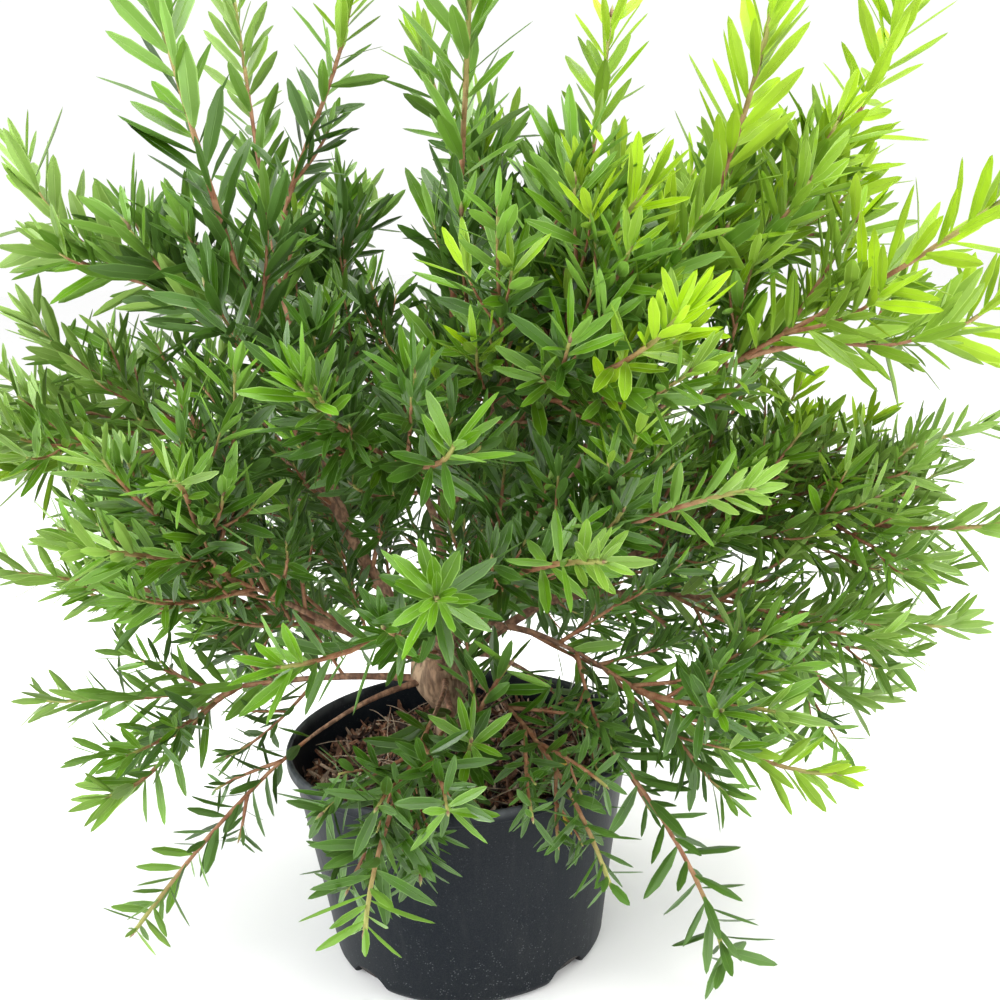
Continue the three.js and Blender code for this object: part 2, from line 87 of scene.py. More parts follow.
def chance(seed: Number, index: Number) -> np.ndarray:
    """Draw repeatable numbers from 0 to 1: the fraction of a large multiple of a sine.

    Args:
        seed: The seed, or one for each number.
        index: A counter that tells draws with one seed apart.

    Returns:
        The numbers, in the shape that seed and index make together.
    """
    value = np.sin(np.asarray(seed) * 12.9898 + np.asarray(index) * 78.233) * 43758.5453
    return value - np.floor(value)


def lerp(low: Number, high: Number, share: Number) -> np.ndarray:
    """Return what lies a share of the way from low to high."""
    return low + (high - low) * share


def smoothstep(value: np.ndarray, low: float, high: float) -> np.ndarray:
    """Return 0 below low and 1 above high, with the cubic 3t^2 - 2t^3 between."""
    t = np.clip((value - low) / (high - low), 0.0, 1.0)
    return t * t * (3.0 - 2.0 * t)


def grid(x: Number, y: Number, z: Number) -> np.ndarray:
    """Return points from their three coordinates, spread over one shape."""
    return np.stack(np.broadcast_arrays(x, y, z), axis=-1)


def unit(vectors: np.ndarray) -> np.ndarray:
    """Return the vectors, along the last axis, at length 1."""
    return vectors / np.linalg.norm(vectors, axis=-1, keepdims=True)


def heading(azimuth: Number, elevation: Number) -> np.ndarray:
    """Return unit vectors from an azimuth and an elevation, both in degrees."""
    turn, rise = np.radians(azimuth), np.radians(elevation)
    return grid(np.cos(rise) * np.cos(turn), np.cos(rise) * np.sin(turn), np.sin(rise))


def azimuth_of(vectors: np.ndarray) -> np.ndarray:
    """Return the compass direction of vectors, in degrees from +X."""
    return np.degrees(np.arctan2(vectors[..., 1], vectors[..., 0]))


def between(first: np.ndarray, second: np.ndarray, angle: Number) -> np.ndarray:
    """Return cos(angle) first + sin(angle) second: a direction turned towards another."""
    return first * np.cos(angle)[..., None] + second * np.sin(angle)[..., None]


def even_turn(count: int) -> np.ndarray:
    """Return the angles of so many even steps round a circle."""
    return np.linspace(0.0, 2.0 * np.pi, count, endpoint=False)


def counted(counts: np.ndarray) -> tuple[np.ndarray, np.ndarray]:
    """Number things that stand in rows.

    Args:
        counts: How many things each row has.

    Returns:
        The row of each thing, and its number in that row.
    """
    rows = np.repeat(np.arange(len(counts)), counts)
    return rows, np.arange(len(rows)) - np.repeat(np.cumsum(counts) - counts, counts)


def noise(points: np.ndarray, size: float, seed: int = 0) -> np.ndarray:
    """Give smooth value noise: random numbers on a cubic lattice, blended over each cell.

    Args:
        points: Places, of shape (..., 3).
        size: The edge of a lattice cell.
        seed: Tells one field from another.

    Returns:
        Numbers from -1 to 1, one for each place.
    """
    scaled = points / size
    cell = np.floor(scaled)
    part = scaled - cell
    part = part * part * (3.0 - 2.0 * part)
    total = np.zeros(points.shape[:-1])
    for corner in itertools.product((0, 1), repeat=3):
        step = np.array(corner)
        at = cell + step
        drawn = chance(at[..., 0] * 3.7 + at[..., 1] * 11.3 + seed, at[..., 2] * 5.9 + at[..., 0])
        total += drawn * np.prod(np.where(step, part, 1.0 - part), axis=-1)
    return total * 2.0 - 1.0


def ridges(points: np.ndarray, size: float, seed: int = 0) -> np.ndarray:
    """Give sharp-crested noise from 0 to 1: one less the size of the smooth noise."""
    return 1.0 - np.abs(noise(points, size, seed))


# ---- Meshes ----


def ring_polygons(rings: int, sides: int) -> list[list[int]]:
    """List the polygons of a closed tube whose first and last vertices are its two end points.

    Args:
        rings: The number of rings between the end points.
        sides: The number of vertices on a ring.

    Returns:
        The polygons, each facing outward if the rings turn anticlockwise seen from the far end.
    """

    def at(ring: int, side: int) -> int:
        """Number the vertex of a ring."""
        return 1 + ring * sides + side % sides

    far = 1 + rings * sides
    first = [[0, at(0, i + 1), at(0, i)] for i in range(sides)]
    body = [
        [at(r, i), at(r, i + 1), at(r + 1, i + 1), at(r + 1, i)]
        for r in range(rings - 1)
        for i in range(sides)
    ]
    last = [[at(rings - 1, i), at(rings - 1, i + 1), far] for i in range(sides)]
    return first + body + last


@dataclass
class Surface:
    """Vertices and polygons as whole arrays, on their way to one mesh.

    corners lists the vertex numbers polygon after polygon, and sizes says how many each has.
    """

    points: np.ndarray
    corners: np.ndarray
    sizes: np.ndarray
    uv: np.ndarray | None = None
    values: dict[str, np.ndarray] = field(default_factory=dict)

    @staticmethod
    def tubes(
        start: np.ndarray, rings: np.ndarray, end: np.ndarray, uv: np.ndarray | None = None
    ) -> "Surface":
        """Lay closed tubes over rings of vertices, with a point at either end of each tube.

        Args:
            start: The points at the near ends, of shape (tubes, 3).
            rings: The vertices between, of shape (tubes, rings, sides, 3).
            end: The points at the far ends.
            uv: One tube's UV places, a row for each corner.

        Returns:
            The surface of all the tubes.
        """
        copies, count, sides = rings.shape[:3]
        points = np.concatenate([start[:, None], rings.reshape(copies, -1, 3), end[:, None]], axis=1)
        polygons = ring_polygons(count, sides)
        one = np.array([vertex for polygon in polygons for vertex in polygon])
        sizes = np.array([len(polygon) for polygon in polygons])
        every = (one + points.shape[1] * np.arange(copies)[:, None]).ravel()
        spread = None if uv is None else np.tile(uv, (copies, 1))
        return Surface(points.reshape(-1, 3), every, np.tile(sizes, copies), spread)

    @staticmethod
    def turned(radius: np.ndarray, height: np.ndarray, segments: int) -> "Surface":
        """Turn a profile that starts and ends on the axis about +Z.

        Args:
            radius: The profile's radii, with 0 at both ends.
            height: The profile's heights.
            segments: The number of steps round.

        Returns:
            The closed surface.
        """
        turn, out = even_turn(segments), radius[1:-1, None]
        rings = grid(out * np.cos(turn), out * np.sin(turn), height[1:-1, None])
        return Surface.tubes(UP[None] * height[0], rings[None], UP[None] * height[-1])

    @staticmethod
    def joined(parts: list["Surface"]) -> "Surface":
        """Put surfaces together, with their vertices numbered on.

        Args:
            parts: The surfaces. All hold the same values, and their UVs are dropped.

        Returns:
            The one surface of them all.
        """
        starts = np.cumsum([0] + [len(part.points) for part in parts[:-1]])
        keys = parts[0].values
        return Surface(
            np.concatenate([part.points for part in parts]),
            np.concatenate([part.corners + start for part, start in zip(parts, starts)]),
            np.concatenate([part.sizes for part in parts]),
            values={key: np.concatenate([part.values[key] for part in parts]) for key in keys},
        )

    @property
    def triangles(self) -> int:
        """The number of triangles that the polygons make."""
        return int((self.sizes - 2).sum())

    def made(self, name: str, material: bpy.types.Material, slot: str | None) -> bpy.types.Object:
        """Make the surface an object of the scene, riding on the plant's one body unless slot is None.

        Args:
            name: The piece's name.
            material: What it is finished with.
            slot: None for what isn't part of the plant, which then stays off the body; the slot's name
                itself is not used.

        Returns:
            The object, at the origin.
        """
        mesh = bpy.data.meshes.new(name)
        mesh.vertices.add(len(self.points))
        mesh.vertices.foreach_set("co", self.points.astype(np.float32).ravel())
        mesh.loops.add(len(self.corners))
        mesh.loops.foreach_set("vertex_index", self.corners.astype(np.int32))
        mesh.polygons.add(len(self.sizes))
        starts = np.concatenate([[0], np.cumsum(self.sizes)[:-1]]).astype(np.int32)
        mesh.polygons.foreach_set("loop_start", starts)
        mesh.update(calc_edges=True)
        mesh.polygons.foreach_set("use_smooth", np.ones(len(self.sizes), bool))
        if self.uv is not None:
            layer = mesh.uv_layers.new(name="Surface")
            layer.data.foreach_set("uv", self.uv.astype(np.float32).ravel())
        for key, numbers in self.values.items():
            attribute = mesh.attributes.new(key, "FLOAT", "POINT")
            attribute.data.foreach_set("value", numbers.astype(np.float32))
        mesh.materials.append(material)
        piece = bpy.data.objects.new(name, mesh)
        bpy.context.scene.collection.objects.link(piece)
        if slot is None:
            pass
        else:
            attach(piece, BODY)
        log.info("%s: %d triangles", name, self.triangles)
        return piece


def creased(piece: bpy.types.Object, degrees: float) -> None:
    """Keep edges sharper than an angle crisp in the shading."""
    piece.data.set_sharp_from_angle(angle=math.radians(degrees))


# ---- Materials ----


def shaded(colour: Colour, share: float) -> Colour:
    """Return a colour with each channel multiplied, up to 1."""
    return tuple(min(1.0, channel * share) for channel in colour)


class Value:
    """A socket in a material's nodes. Arithmetic on it adds Math nodes."""

    def __init__(self, shader: "Shader", socket: bpy.types.NodeSocket) -> None:
        """Wrap an output socket of a shader's node."""
        self.shader = shader
        self.socket = socket

    def _math(self, operation: str, first: object, second: object = 0.0) -> "Value":
        """Add a Math node of an operation on two values."""
        node = self.shader.node("ShaderNodeMath", {"operation": operation}, {0: first, 1: second})
        return Value(self.shader, node.outputs[0])

    def __add__(self, other: object) -> "Value":
        """Add."""
        return self._math("ADD", self, other)

    __radd__ = __add__

    def __sub__(self, other: object) -> "Value":
        """Subtract."""
        return self._math("SUBTRACT", self, other)

    def __rsub__(self, other: object) -> "Value":
        """Subtract from a number."""
        return self._math("SUBTRACT", other, self)

    def __mul__(self, other: object) -> "Value":
        """Multiply."""
        return self._math("MULTIPLY", self, other)

    __rmul__ = __mul__

    def __abs__(self) -> "Value":
        """Drop the sign."""
        return self._math("ABSOLUTE", self)

    def fraction(self) -> "Value":
        """Return what is left over whole numbers."""
        return self._math("FRACT", self)

    def above(self, other: object) -> "Value":
        """Return 1 where this is greater, or else 0."""
        return self._math("GREATER_THAN", self, other)

    def within(self, low: float, high: float) -> "Value":
        """Return 0 at low and 1 at high, smoothly, and no more beyond either.

        Args:
            low: What gives 0.
            high: What gives 1. It may be less than low.

        Returns:
            The share, from a Map Range node.
        """
        node = self.shader.node(
            "ShaderNodeMapRange",
            {"interpolation_type": "SMOOTHSTEP"},
            {"Value": self, "From Min": low, "From Max": high},
        )
        return Value(self.shader, node.outputs[0])


class Shader:
    """A material under construction, with one Principled shader."""

    def __init__(self, name: str) -> None:
        """Start a material with an output and a Principled shader.

        Args:
            name: The material's name.
        """
        self.material = bpy.data.materials.new(name)
        self.material.use_nodes = True
        self.tree = self.material.node_tree
        self.surface = self.tree.nodes["Principled BSDF"]

    def node(self, kind: str, settings: dict[str, object], sockets: dict) -> bpy.types.Node:
        """Add a node, with its settings first and then its sockets.

        Args:
            kind: The node's type.
            settings: Its properties by name.
            sockets: What each input socket, by name or number, holds or is linked to.

        Returns:
            The node.
        """
        made = self.tree.nodes.new(kind)
        for name, setting in settings.items():
            setattr(made, name, setting)
        for key, held in sockets.items():
            self.fill(made.inputs[key], held)
        return made

    def fill(self, socket: bpy.types.NodeSocket, held: object) -> None:
        """Link a value to an input socket, or set the number or colour that it holds.

        Args:
            socket: The input socket.
            held: A value to link, a number or a colour.
        """
        if isinstance(held, Value):
            self.tree.links.new(held.socket, socket)
        elif isinstance(held, tuple) and len(held) == 3 and socket.type == "RGBA":
            socket.default_value = (*held, 1.0)
        else:
            socket.default_value = held

    def places(self) -> Value:
        """Return the object's own coordinates."""
        return Value(self, self.node("ShaderNodeTexCoord", {}, {}).outputs["Object"])

    def stretched(self, scale: Stretch) -> Value:
        """Return the object's own coordinates, scaled by an amount along each axis."""
        sockets = {"Vector": self.places(), "Scale": scale}
        return Value(self, self.node("ShaderNodeMapping", {}, sockets).outputs[0])

    def across_and_along(self) -> tuple[Value, Value]:
        """Read the two coordinates of the piece's own UV map.

        Returns:
            The coordinate across a blade and the one along it.
        """
        mapped = self.node("ShaderNodeUVMap", {"uv_map": "Surface"}, {})
        apart = self.node("ShaderNodeSeparateXYZ", {}, {0: Value(self, mapped.outputs[0])})
        return Value(self, apart.outputs[0]), Value(self, apart.outputs[1])

    def attribute(self, name: str) -> Value:
        """Return a number that the piece holds at each vertex."""
        node = self.node("ShaderNodeAttribute", {"attribute_name": name}, {})
        return Value(self, node.outputs["Fac"])

    def grain(self, scale: float, detail: float = 3.0, where: Value | None = None) -> Value:
        """Return noise from 0 to 1 with so many cells to the metre."""
        sockets = {"Vector": where or self.places(), "Scale": scale, "Detail": detail}
        return Value(self, self.node("ShaderNodeTexNoise", {}, sockets).outputs[0])

    def specks(self, scale: float, where: Value | None = None) -> Value:
        """Return the distance to the nearest of many scattered points."""
        sockets = {"Vector": where or self.places(), "Scale": scale}
        return Value(self, self.node("ShaderNodeTexVoronoi", {}, sockets).outputs["Distance"])

    def mixed(self, share: object, first: object, second: object) -> Value:
        """Mix two colours by a share.

        Args:
            share: How much of the second shows, from 0 to 1.
            first: The colour underneath.
            second: The colour on top.

        Returns:
            The mixed colour.
        """
        sockets = {0: share, 6: first, 7: second}
        return Value(self, self.node("ShaderNodeMix", {"data_type": "RGBA"}, sockets).outputs[2])

    def bumped(self, height: Value, depth: float, strength: float = 1.0) -> None:
        """Raise the surface's shading by a height, whose full range is a depth in metres.

        Args:
            height: A value from 0 to 1.
            depth: How deep that is.
            strength: How much of it shows.
        """
        sockets = {"Height": height, "Distance": depth, "Strength": strength}
        node = self.node("ShaderNodeBump", {}, sockets)
        self.fill(self.surface.inputs["Normal"], Value(self, node.outputs[0]))

    def finished(self, **sockets: object) -> bpy.types.Material:
        """Set the Principled shader's sockets and give the material.

        Args:
            sockets: What each holds, by its name with _ for a space.

        Returns:
            The material.
        """
        for name, held in sockets.items():
            self.fill(self.surface.inputs[name.replace("_", " ")], held)
        return self.material


@dataclass(frozen=True)
class LeafFinish:
    """A satin leaf: a plain colour, paler along its margin and midrib and duller underneath."""

    name: str
    colour: Colour
    edge: Colour
    gloss: float
    roughness: float = 0.36

    def material(self) -> bpy.types.Material:
        """Build the material on the blade's own UV map, whose first unit is the upper face.

        Returns:
            The material.
        """
        shader = Shader(self.name)
        around, along = shader.across_and_along()
        out = abs((around.fraction() - 0.5) * 2.0)
        margin = out.within(0.80, 0.96)
        midrib = 1.0 - out.within(0.0, 0.10)
        tone = shader.grain(22.0, 2.0)
        blade = shader.mixed(tone.within(0.3, 0.7), shaded(self.colour, 0.72), shaded(self.colour, 1.22))
        base = shader.mixed(along.within(0.25, 0.0) * 0.5, blade, self.edge)
        under = shader.mixed(around.above(1.0) * 0.22, base, self.edge)
        edged = shader.mixed(margin * 0.68, under, self.edge)
        veined = shader.mixed(midrib * 0.45, edged, self.edge)
        shader.bumped(midrib * -1.0 + margin * 0.5 + shader.grain(900.0, 2.0) * 0.4, 0.00025)
        return shader.finished(
            Base_Color=veined,
            Roughness=around.above(1.0) * 0.15 + shader.grain(60.0) * 0.16 + (self.roughness - 0.08),
            Specular_IOR_Level=self.gloss,
        )


@dataclass(frozen=True)
class ShootFinish:
    """Young bark that turns from brown wood to green growth with the shoot's own age value."""

    name: str
    wood: Colour
    red: Colour
    green: Colour

    def material(self) -> bpy.types.Material:
        """Build the material on object coordinates and the piece's age attribute.

        Returns:
            The material.
        """
        shader = Shader(self.name)
        youth = shader.attribute("youth")
        blotch = shader.grain(140.0, 4.0)
        bark = shader.mixed(blotch.within(0.35, 0.65), self.red, self.wood)
        shade = shader.mixed(shader.grain(900.0, 2.0).within(0.4, 0.75) * 0.5, bark, self.wood)
        grown = shader.mixed(youth.within(0.78, 1.0) * 0.8, shade, self.green)
        shader.bumped(shader.grain(700.0, 4.0), 0.0006)
        return shader.finished(Base_Color=grown, Roughness=blotch * 0.2 + 0.55)


@dataclass(frozen=True)
class BarkFinish:
    """Old bark, fissured lengthwise, with pale crests and dark furrows."""

    name: str
    crest: Colour
    body: Colour
    furrow: Colour
    stretch: Stretch

    def material(self) -> bpy.types.Material:
        """Build the material on stretched object coordinates and the relief that the piece holds.

        Returns:
            The material.
        """
        shader = Shader(self.name)
        where = shader.stretched(self.stretch)
        fibre = shader.grain(260.0, 6.0, where)
        flake = shader.grain(70.0, 4.0, where)
        relief = shader.attribute("relief")
        tone = shader.mixed(flake.within(0.35, 0.65), self.body, self.crest)
        lined = shader.mixed(fibre.within(0.62, 0.4) * 0.7, tone, self.furrow)
        deep = shader.mixed(relief.within(0.45, 0.0) * 0.8, lined, self.furrow)
        shader.bumped(fibre * 0.6 + flake * 0.4, 0.0012)
        return shader.finished(Base_Color=deep, Roughness=fibre * 0.2 + 0.72)


@dataclass(frozen=True)
class PlasticFinish:
    """Satin blow-moulded plastic with fine upright streaks, a paler lip that is partly wear and partly a
    painted highlight, and dust near the foot.
    """

    name: str
    body: Colour
    dust: Colour
    dusty_height: float

    def material(self, brim: float) -> bpy.types.Material:
        """Build the material on object coordinates.

        Args:
            brim: The height of the lip's top, painted paler just below it: partly wear, partly a painted
                highlight.

        Returns:
            The material.
        """
        shader = Shader(self.name)
        streak = shader.grain(26.0, 5.0, shader.stretched((6.0, 6.0, 0.35)))
        cloud = shader.grain(9.0, 3.0)
        apart = shader.node("ShaderNodeSeparateXYZ", {}, {0: shader.places()})
        height = Value(shader, apart.outputs[2])
        low = height.within(self.dusty_height, 0.0)
        film = streak.within(0.5, 0.8) * 0.22 + cloud.within(0.45, 0.75) * 0.16 + low * 0.12
        near = shader.specks(480.0).within(0.30, 0.12)
        some = shader.grain(170.0, 1.0).within(0.50, 0.62)
        speck = near * some * (low * 0.6 + 0.2)
        pitted = shader.grain(1100.0, 2.0).within(0.40, 0.64) * 0.22
        dusted = shader.mixed(film + pitted, self.body, self.dust)
        spotted = shader.mixed(speck, dusted, shaded(self.dust, 5.0))
        # Paler band just under the lip's top: partly wear, partly a painted highlight of light on the lip.
        worn = height.within(brim - 0.008, brim - 0.001) * shader.grain(55.0, 3.0).within(0.3, 0.7) * 0.4
        rubbed_and_highlit = shader.mixed(worn, spotted, shaded(self.dust, 6.0))
        shader.bumped(streak * 0.6 + shader.grain(500.0, 2.0) * 0.25, 0.0004, 0.7)
        rough = film * 0.5 + speck * 0.3 + 0.38
        return shader.finished(Base_Color=rubbed_and_highlit, Roughness=rough, Specular_IOR_Level=0.11)


@dataclass(frozen=True)
class ChipFinish:
    """Fibrous shredded bark, one of several browns."""

    name: str
    body: Colour
    fibre: Colour

    def material(self) -> bpy.types.Material:
        """Build the material on object coordinates.

        Returns:
            The material.
        """
        shader = Shader(self.name)
        grain = shader.grain(420.0, 4.0)
        patch = shader.grain(90.0, 2.0)
        tone = shader.mixed(grain.within(0.4, 0.7), self.body, self.fibre)
        worn = shader.mixed(patch.within(0.60, 0.42) * 0.75, tone, shaded(self.body, 0.35))
        shader.bumped(grain, 0.0012)
        return shader.finished(Base_Color=worn, Roughness=grain * 0.25 + 0.5)


@dataclass(frozen=True)
class StudioFinish:
    """The matt pale floor."""

    name: str
    colour: Colour

    def material(self) -> bpy.types.Material:
        """Build a faintly mottled matt white.

        Returns:
            The material.
        """
        shader = Shader(self.name)
        mottled = shader.mixed(shader.grain(2.0), shaded(self.colour, 0.985), self.colour)
        return shader.finished(Base_Color=mottled, Roughness=0.9)


# ---- Pot ----


@dataclass
class Pot:
    """The squat nursery pot, with a rolled lip and scooped drain holes in its rounded foot."""

    lip_height: float = 0.010
    lip_proud: float = 0.0045
    lip_edge: float = 0.003
    lip_cove: float = 0.001
    foot_radius: float = 0.113
    foot_round: float = 0.010
    wall: float = 0.0022
    wall_bulge: float = 0.0006
    floor: float = 0.0026
    segments: int = 192
    notches: int = 4
    notch_radius: float = 0.023
    notch_centre: float = -0.006
    notch_length: float = 0.034
    notch_sides: int = 64
    crease: float = 32.0

    def __post_init__(self) -> None:
        """Take the height and the rim's radius from the model."""
        low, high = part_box("pot")
        self.height = high.z
        self.rim_radius = (high.x - low.x) / 2.0

    def wall_radius(self, height: Number) -> np.ndarray:
        """Return the outer wall's radius at a height: a straight taper from the lip to the foot."""
        share = (height - self.foot_round) / (self.height - self.lip_height - self.foot_round)
        return lerp(self.foot_radius, self.rim_radius - self.lip_proud, share)

    def inside(self, height: Number, gap: float) -> np.ndarray:
        """Return how far from the axis a thing may reach at a height, a gap clear of the wall."""
        return self.wall_radius(height) - self.wall - gap

    @staticmethod
    def arc(r: float, z: float, wide: float, high: float, quarters: Range, count: int) -> np.ndarray:
        """Return radii and heights on an oval arc about (r, z), between angles in quarter turns."""
        angle = np.linspace(*quarters, count) * math.pi / 2.0
        return np.array([r + wide * np.cos(angle), z + high * np.sin(angle)])

    def section(self) -> np.ndarray:
        """Work out the profile: arcs at the foot and the rolled lip, straight walls between.

        Returns:
            The radii and the heights, up the outside, over the lip and down the inside.
        """
        lip_foot, rim = self.height - self.lip_height, self.rim_radius
        foot, cove = self.foot_radius - self.foot_round, self.lip_cove
        edge, top = self.lip_edge * 0.6, self.lip_edge * 0.8
        wall_z = np.linspace(self.foot_round, lip_foot - 2.0 * cove, 14)[1:]
        bulge = np.sin(math.pi * (wall_z - self.foot_round) / (lip_foot - self.foot_round))
        inner_z = np.linspace(lip_foot, self.foot_round, 6)
        parts = [
            [[0.0], [0.0]],
            self.arc(foot, self.foot_round, self.foot_round, self.foot_round, (-1.0, 0.0), 9),
            [self.wall_radius(wall_z) - self.wall_bulge * bulge, wall_z],
            self.arc(rim - edge, lip_foot - cove, self.lip_proud - edge, cove, (2.0, 1.0), 5),
            self.arc(rim - edge, lip_foot + edge, edge, edge, (-0.75, 0.0), 4),
            self.arc(rim - top, self.height - top, top, top, (0.0, 2.0), 11),
            [[self.wall_radius(self.height) - self.wall], [self.height - self.lip_height / 2.0]],
            [self.wall_radius(inner_z) - self.wall, inner_z],
            [[foot, 0.0], [self.floor, self.floor]],
        ]
        return np.concatenate([np.array(part) for part in parts], axis=1)

    def scoop(self, azimuth: float) -> Surface:
        """Make the lying cylinder that scoops one drain hole out of the foot.

        Args:
            azimuth: Its direction from the pot's axis, in radians.

        Returns:
            A closed cylinder along that direction.
        """
        radius = self.notch_radius * np.array([0.0, 1.0, 1.0, 0.0])
        height = self.notch_length / 2.0 * np.array([-1.0, -1.0, 1.0, 1.0])
        made = Surface.turned(radius, height, self.notch_sides)
        rise, aside, along = made.points.T
        out, x, y = self.foot_radius + along, math.cos(azimuth), math.sin(azimuth)
        made.points = grid(out * x + aside * y, out * y - aside * x, self.notch_centre + rise)
        return made

    def build(self, finish: PlasticFinish) -> bpy.types.Object:
        """Turn the pot, cut its drain holes and dress it.

        Args:
            finish: The plastic.

        Returns:
            The piece that stands for the pot's node.
        """
        material = finish.material(self.height)
        piece = Surface.turned(*self.section(), self.segments).made("pot_shell", material, "pot_plastic")
        azimuths = 2.0 * np.pi / self.notches * (np.arange(self.notches) + 0.5)
        scoops = [self.scoop(azimuth) for azimuth in azimuths]
        cutter = Surface.joined(scoops).made("pot_scoops", material, None)
        cut = piece.modifiers.new("scoops", "BOOLEAN")
        cut.operation = "DIFFERENCE"
        cut.solver = "EXACT"
        cut.object = cutter
        graph = bpy.context.evaluated_depsgraph_get()
        shell = bpy.data.meshes.new_from_object(piece.evaluated_get(graph), depsgraph=graph)
        piece.modifiers.clear()
        whole = piece.data
        piece.data = shell
        bpy.data.objects.remove(cutter)
        bpy.data.meshes.remove(whole)
        shell.name = "pot_shell"
        creased(piece, self.crease)
        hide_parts("pot")
        return piece


# ---- Mulch ----


@dataclass
class Mulch:
    """The bark mulch that fills the pot: a lumpy bed, loose chips, grit and dry needles.

    foot is where the trunk stands. Ranges are what each sliver's own measure is drawn from, and
    shares are the parts of the chips in each brown.
    """

    pot: Pot
    foot: Range
    level: float = 0.158
    edge_drop: float = 0.008
    left_drop: float = 0.009
    lump: float = 0.0022
    rough: float = 0.0016
    shelf: float = 0.034
    foot_clear: float = 0.019
    gap: float = 0.0006
    rings: int = 56
    segments: int = 150
    chips: int = 3500
    shares: tuple[float, ...] = (0.54, 0.34, 0.12)
    chip_length: Range = (0.006, 0.025)
    chip_width: Range = (0.0014, 0.0046)
    chip_thick: Range = (0.0008, 0.0024)
    chip_tilt: Range = (-44.0, 44.0)
    chip_roll: Range = (-65.0, 65.0)
    chip_curl: Range = (-1.4, 2.0)
    chip_lift: Range = (-0.0010, 0.0050)
    chip_crease: float = 40.0
    grit: int = 130
    grit_size: Range = (0.0008, 0.0022)
    needles: int = 56
    needle_length: Range = (0.030, 0.085)
    needle_clear: float = 0.004
    seed: int = 11

    def height(self, x: np.ndarray, y: np.ndarray) -> np.ndarray:
        """Return the bed's height: crowned in the middle, lower at the left, uneven.

        Args:
            x: Places along X.
            y: Places along Y.

        Returns:
            The height at each.
        """
        out = np.hypot(x, y) / self.pot.foot_radius
        away = np.hypot(x - self.foot[0], y - self.foot[1])
        crown = self.level - self.edge_drop * out * out
        tilt = self.left_drop * np.minimum(0.0, x / self.pot.foot_radius)
        lumps = self.lump * np.sin(x * 90.0 + 1.0) * np.cos(y * 110.0)
        return lerp(self.level, crown + tilt + lumps, smoothstep(away, self.shelf * 0.7, self.shelf * 1.5))

    def bed(self) -> Surface:
        """Make the filling: a polar grid of heights on top, the pot's inner wall and floor below.

        Returns:
            The closed surface.
        """
        pot = self.pot
        floor_r = pot.foot_radius - pot.foot_round - self.gap
        low_r = pot.inside(pot.foot_round, self.gap)
        top_r = np.linspace(pot.inside(self.level, self.gap), 0.0, self.rings)
        radius = np.concatenate([[0.0, floor_r, low_r], top_r])
        low_z = [pot.floor + self.gap, pot.floor + self.gap, pot.foot_round]
        height = np.concatenate([low_z, np.full(self.rings, self.level)])
        made = Surface.turned(radius, height, self.segments)
        x, y, z = made.points.T
        flat = made.points * FLAT
        rise = self.height(x, y) + self.rough * (noise(flat, 0.007, 3) + noise(flat, 0.016, 5))
        top, out, most = z > self.level - 0.001, np.hypot(x, y), pot.inside(rise, self.gap)
        pull = np.where(top & (out > most), most / np.maximum(out, 1e-6), 1.0)
        made.points = grid(x * pull, y * pull, np.where(top, rise, z))
        return made

    def scattered(self, count: int, seed: int, rim: float) -> np.ndarray:
        """Scatter places evenly over the bed, clear of the trunk's foot.

        Args:
            count: How many places.
            seed: The draw's seed.
            rim: How far inside the pot's wall they stay.

        Returns:
            The places on the bed, of shape (count or fewer, 3).
        """
        number = np.arange(count)
        out = self.pot.inside(self.level, rim) * np.sqrt(chance(seed, number))
        turn = 2.0 * np.pi * chance(seed + 1, number)
        x, y = out * np.cos(turn), out * np.sin(turn)
        clear = np.hypot(x - self.foot[0], y - self.foot[1]) > self.foot_clear
        return grid(x, y, self.height(x, y))[clear]

    def chip_surface(self, places: np.ndarray, seed: int) -> Surface:
        """Make curled slivers of bark: flat strips, tapered at the ends, bent along and across.

        A sliver bends by its curl times its length times (t^2 - 0.08), at a share t from its middle.

        Args:
            places: Where each lies.
            seed: The draw's seed.

        Returns:
            All the slivers.
        """
        number = np.arange(len(places))
        draw = [chance(seed + 2 + i, number) for i in range(8)]
        length = lerp(*self.chip_length, draw[0] ** 1.3)
        width = lerp(*self.chip_width, draw[1] ** 1.3) * (0.7 + length / 0.04)
        thick = lerp(*self.chip_thick, draw[2])
        tilt = lerp(*self.chip_tilt, draw[4])
        along = heading(360.0 * draw[3], tilt)
        side = unit(np.cross(UP, along))
        over = np.cross(along, side)
        roll = np.radians(lerp(*self.chip_roll, draw[5]))
        side, over = between(side, over, roll), between(over, -side, roll)
        curl = lerp(*self.chip_curl, draw[6])
        lift = np.abs(np.sin(np.radians(tilt))) * length * 0.34 + lerp(*self.chip_lift, draw[7])
        length, width, thick, curl = (each[:, None, None] for each in (length, width, thick, curl))
        t = np.array([-0.5, -0.28, 0.0, 0.28, 0.5])[:, None]
        taper = np.array([0.35, 0.9, 1.0, 0.85, 0.3])[:, None]
        across, through = np.array([[-0.5, -0.5, 0.5, 0.5], [0.5, -0.5, -0.5, 0.5]])
        cupped = np.abs(curl) * width * 0.3 * np.abs(across)
        deep = thick * through + curl * length * (t * t - 0.08) - cupped
        ring = (
            (places + UP * lift[:, None])[:, None, None]
            + along[:, None, None] * (length * t)[..., None]
            + side[:, None, None] * (width * taper * across)[..., None]
            + over[:, None, None] * deep[..., None]
        )
        out = np.hypot(ring[..., 0], ring[..., 1])
        excess = np.maximum(0.0, (out - self.pot.inside(ring[..., 2], 0.0008)).max(axis=(1, 2)))
        ring -= (unit(places * FLAT) * excess[:, None])[:, None, None]
        ends = ring.mean(axis=2)
        return Surface.tubes(ends[:, 0], ring, ends[:, -1])

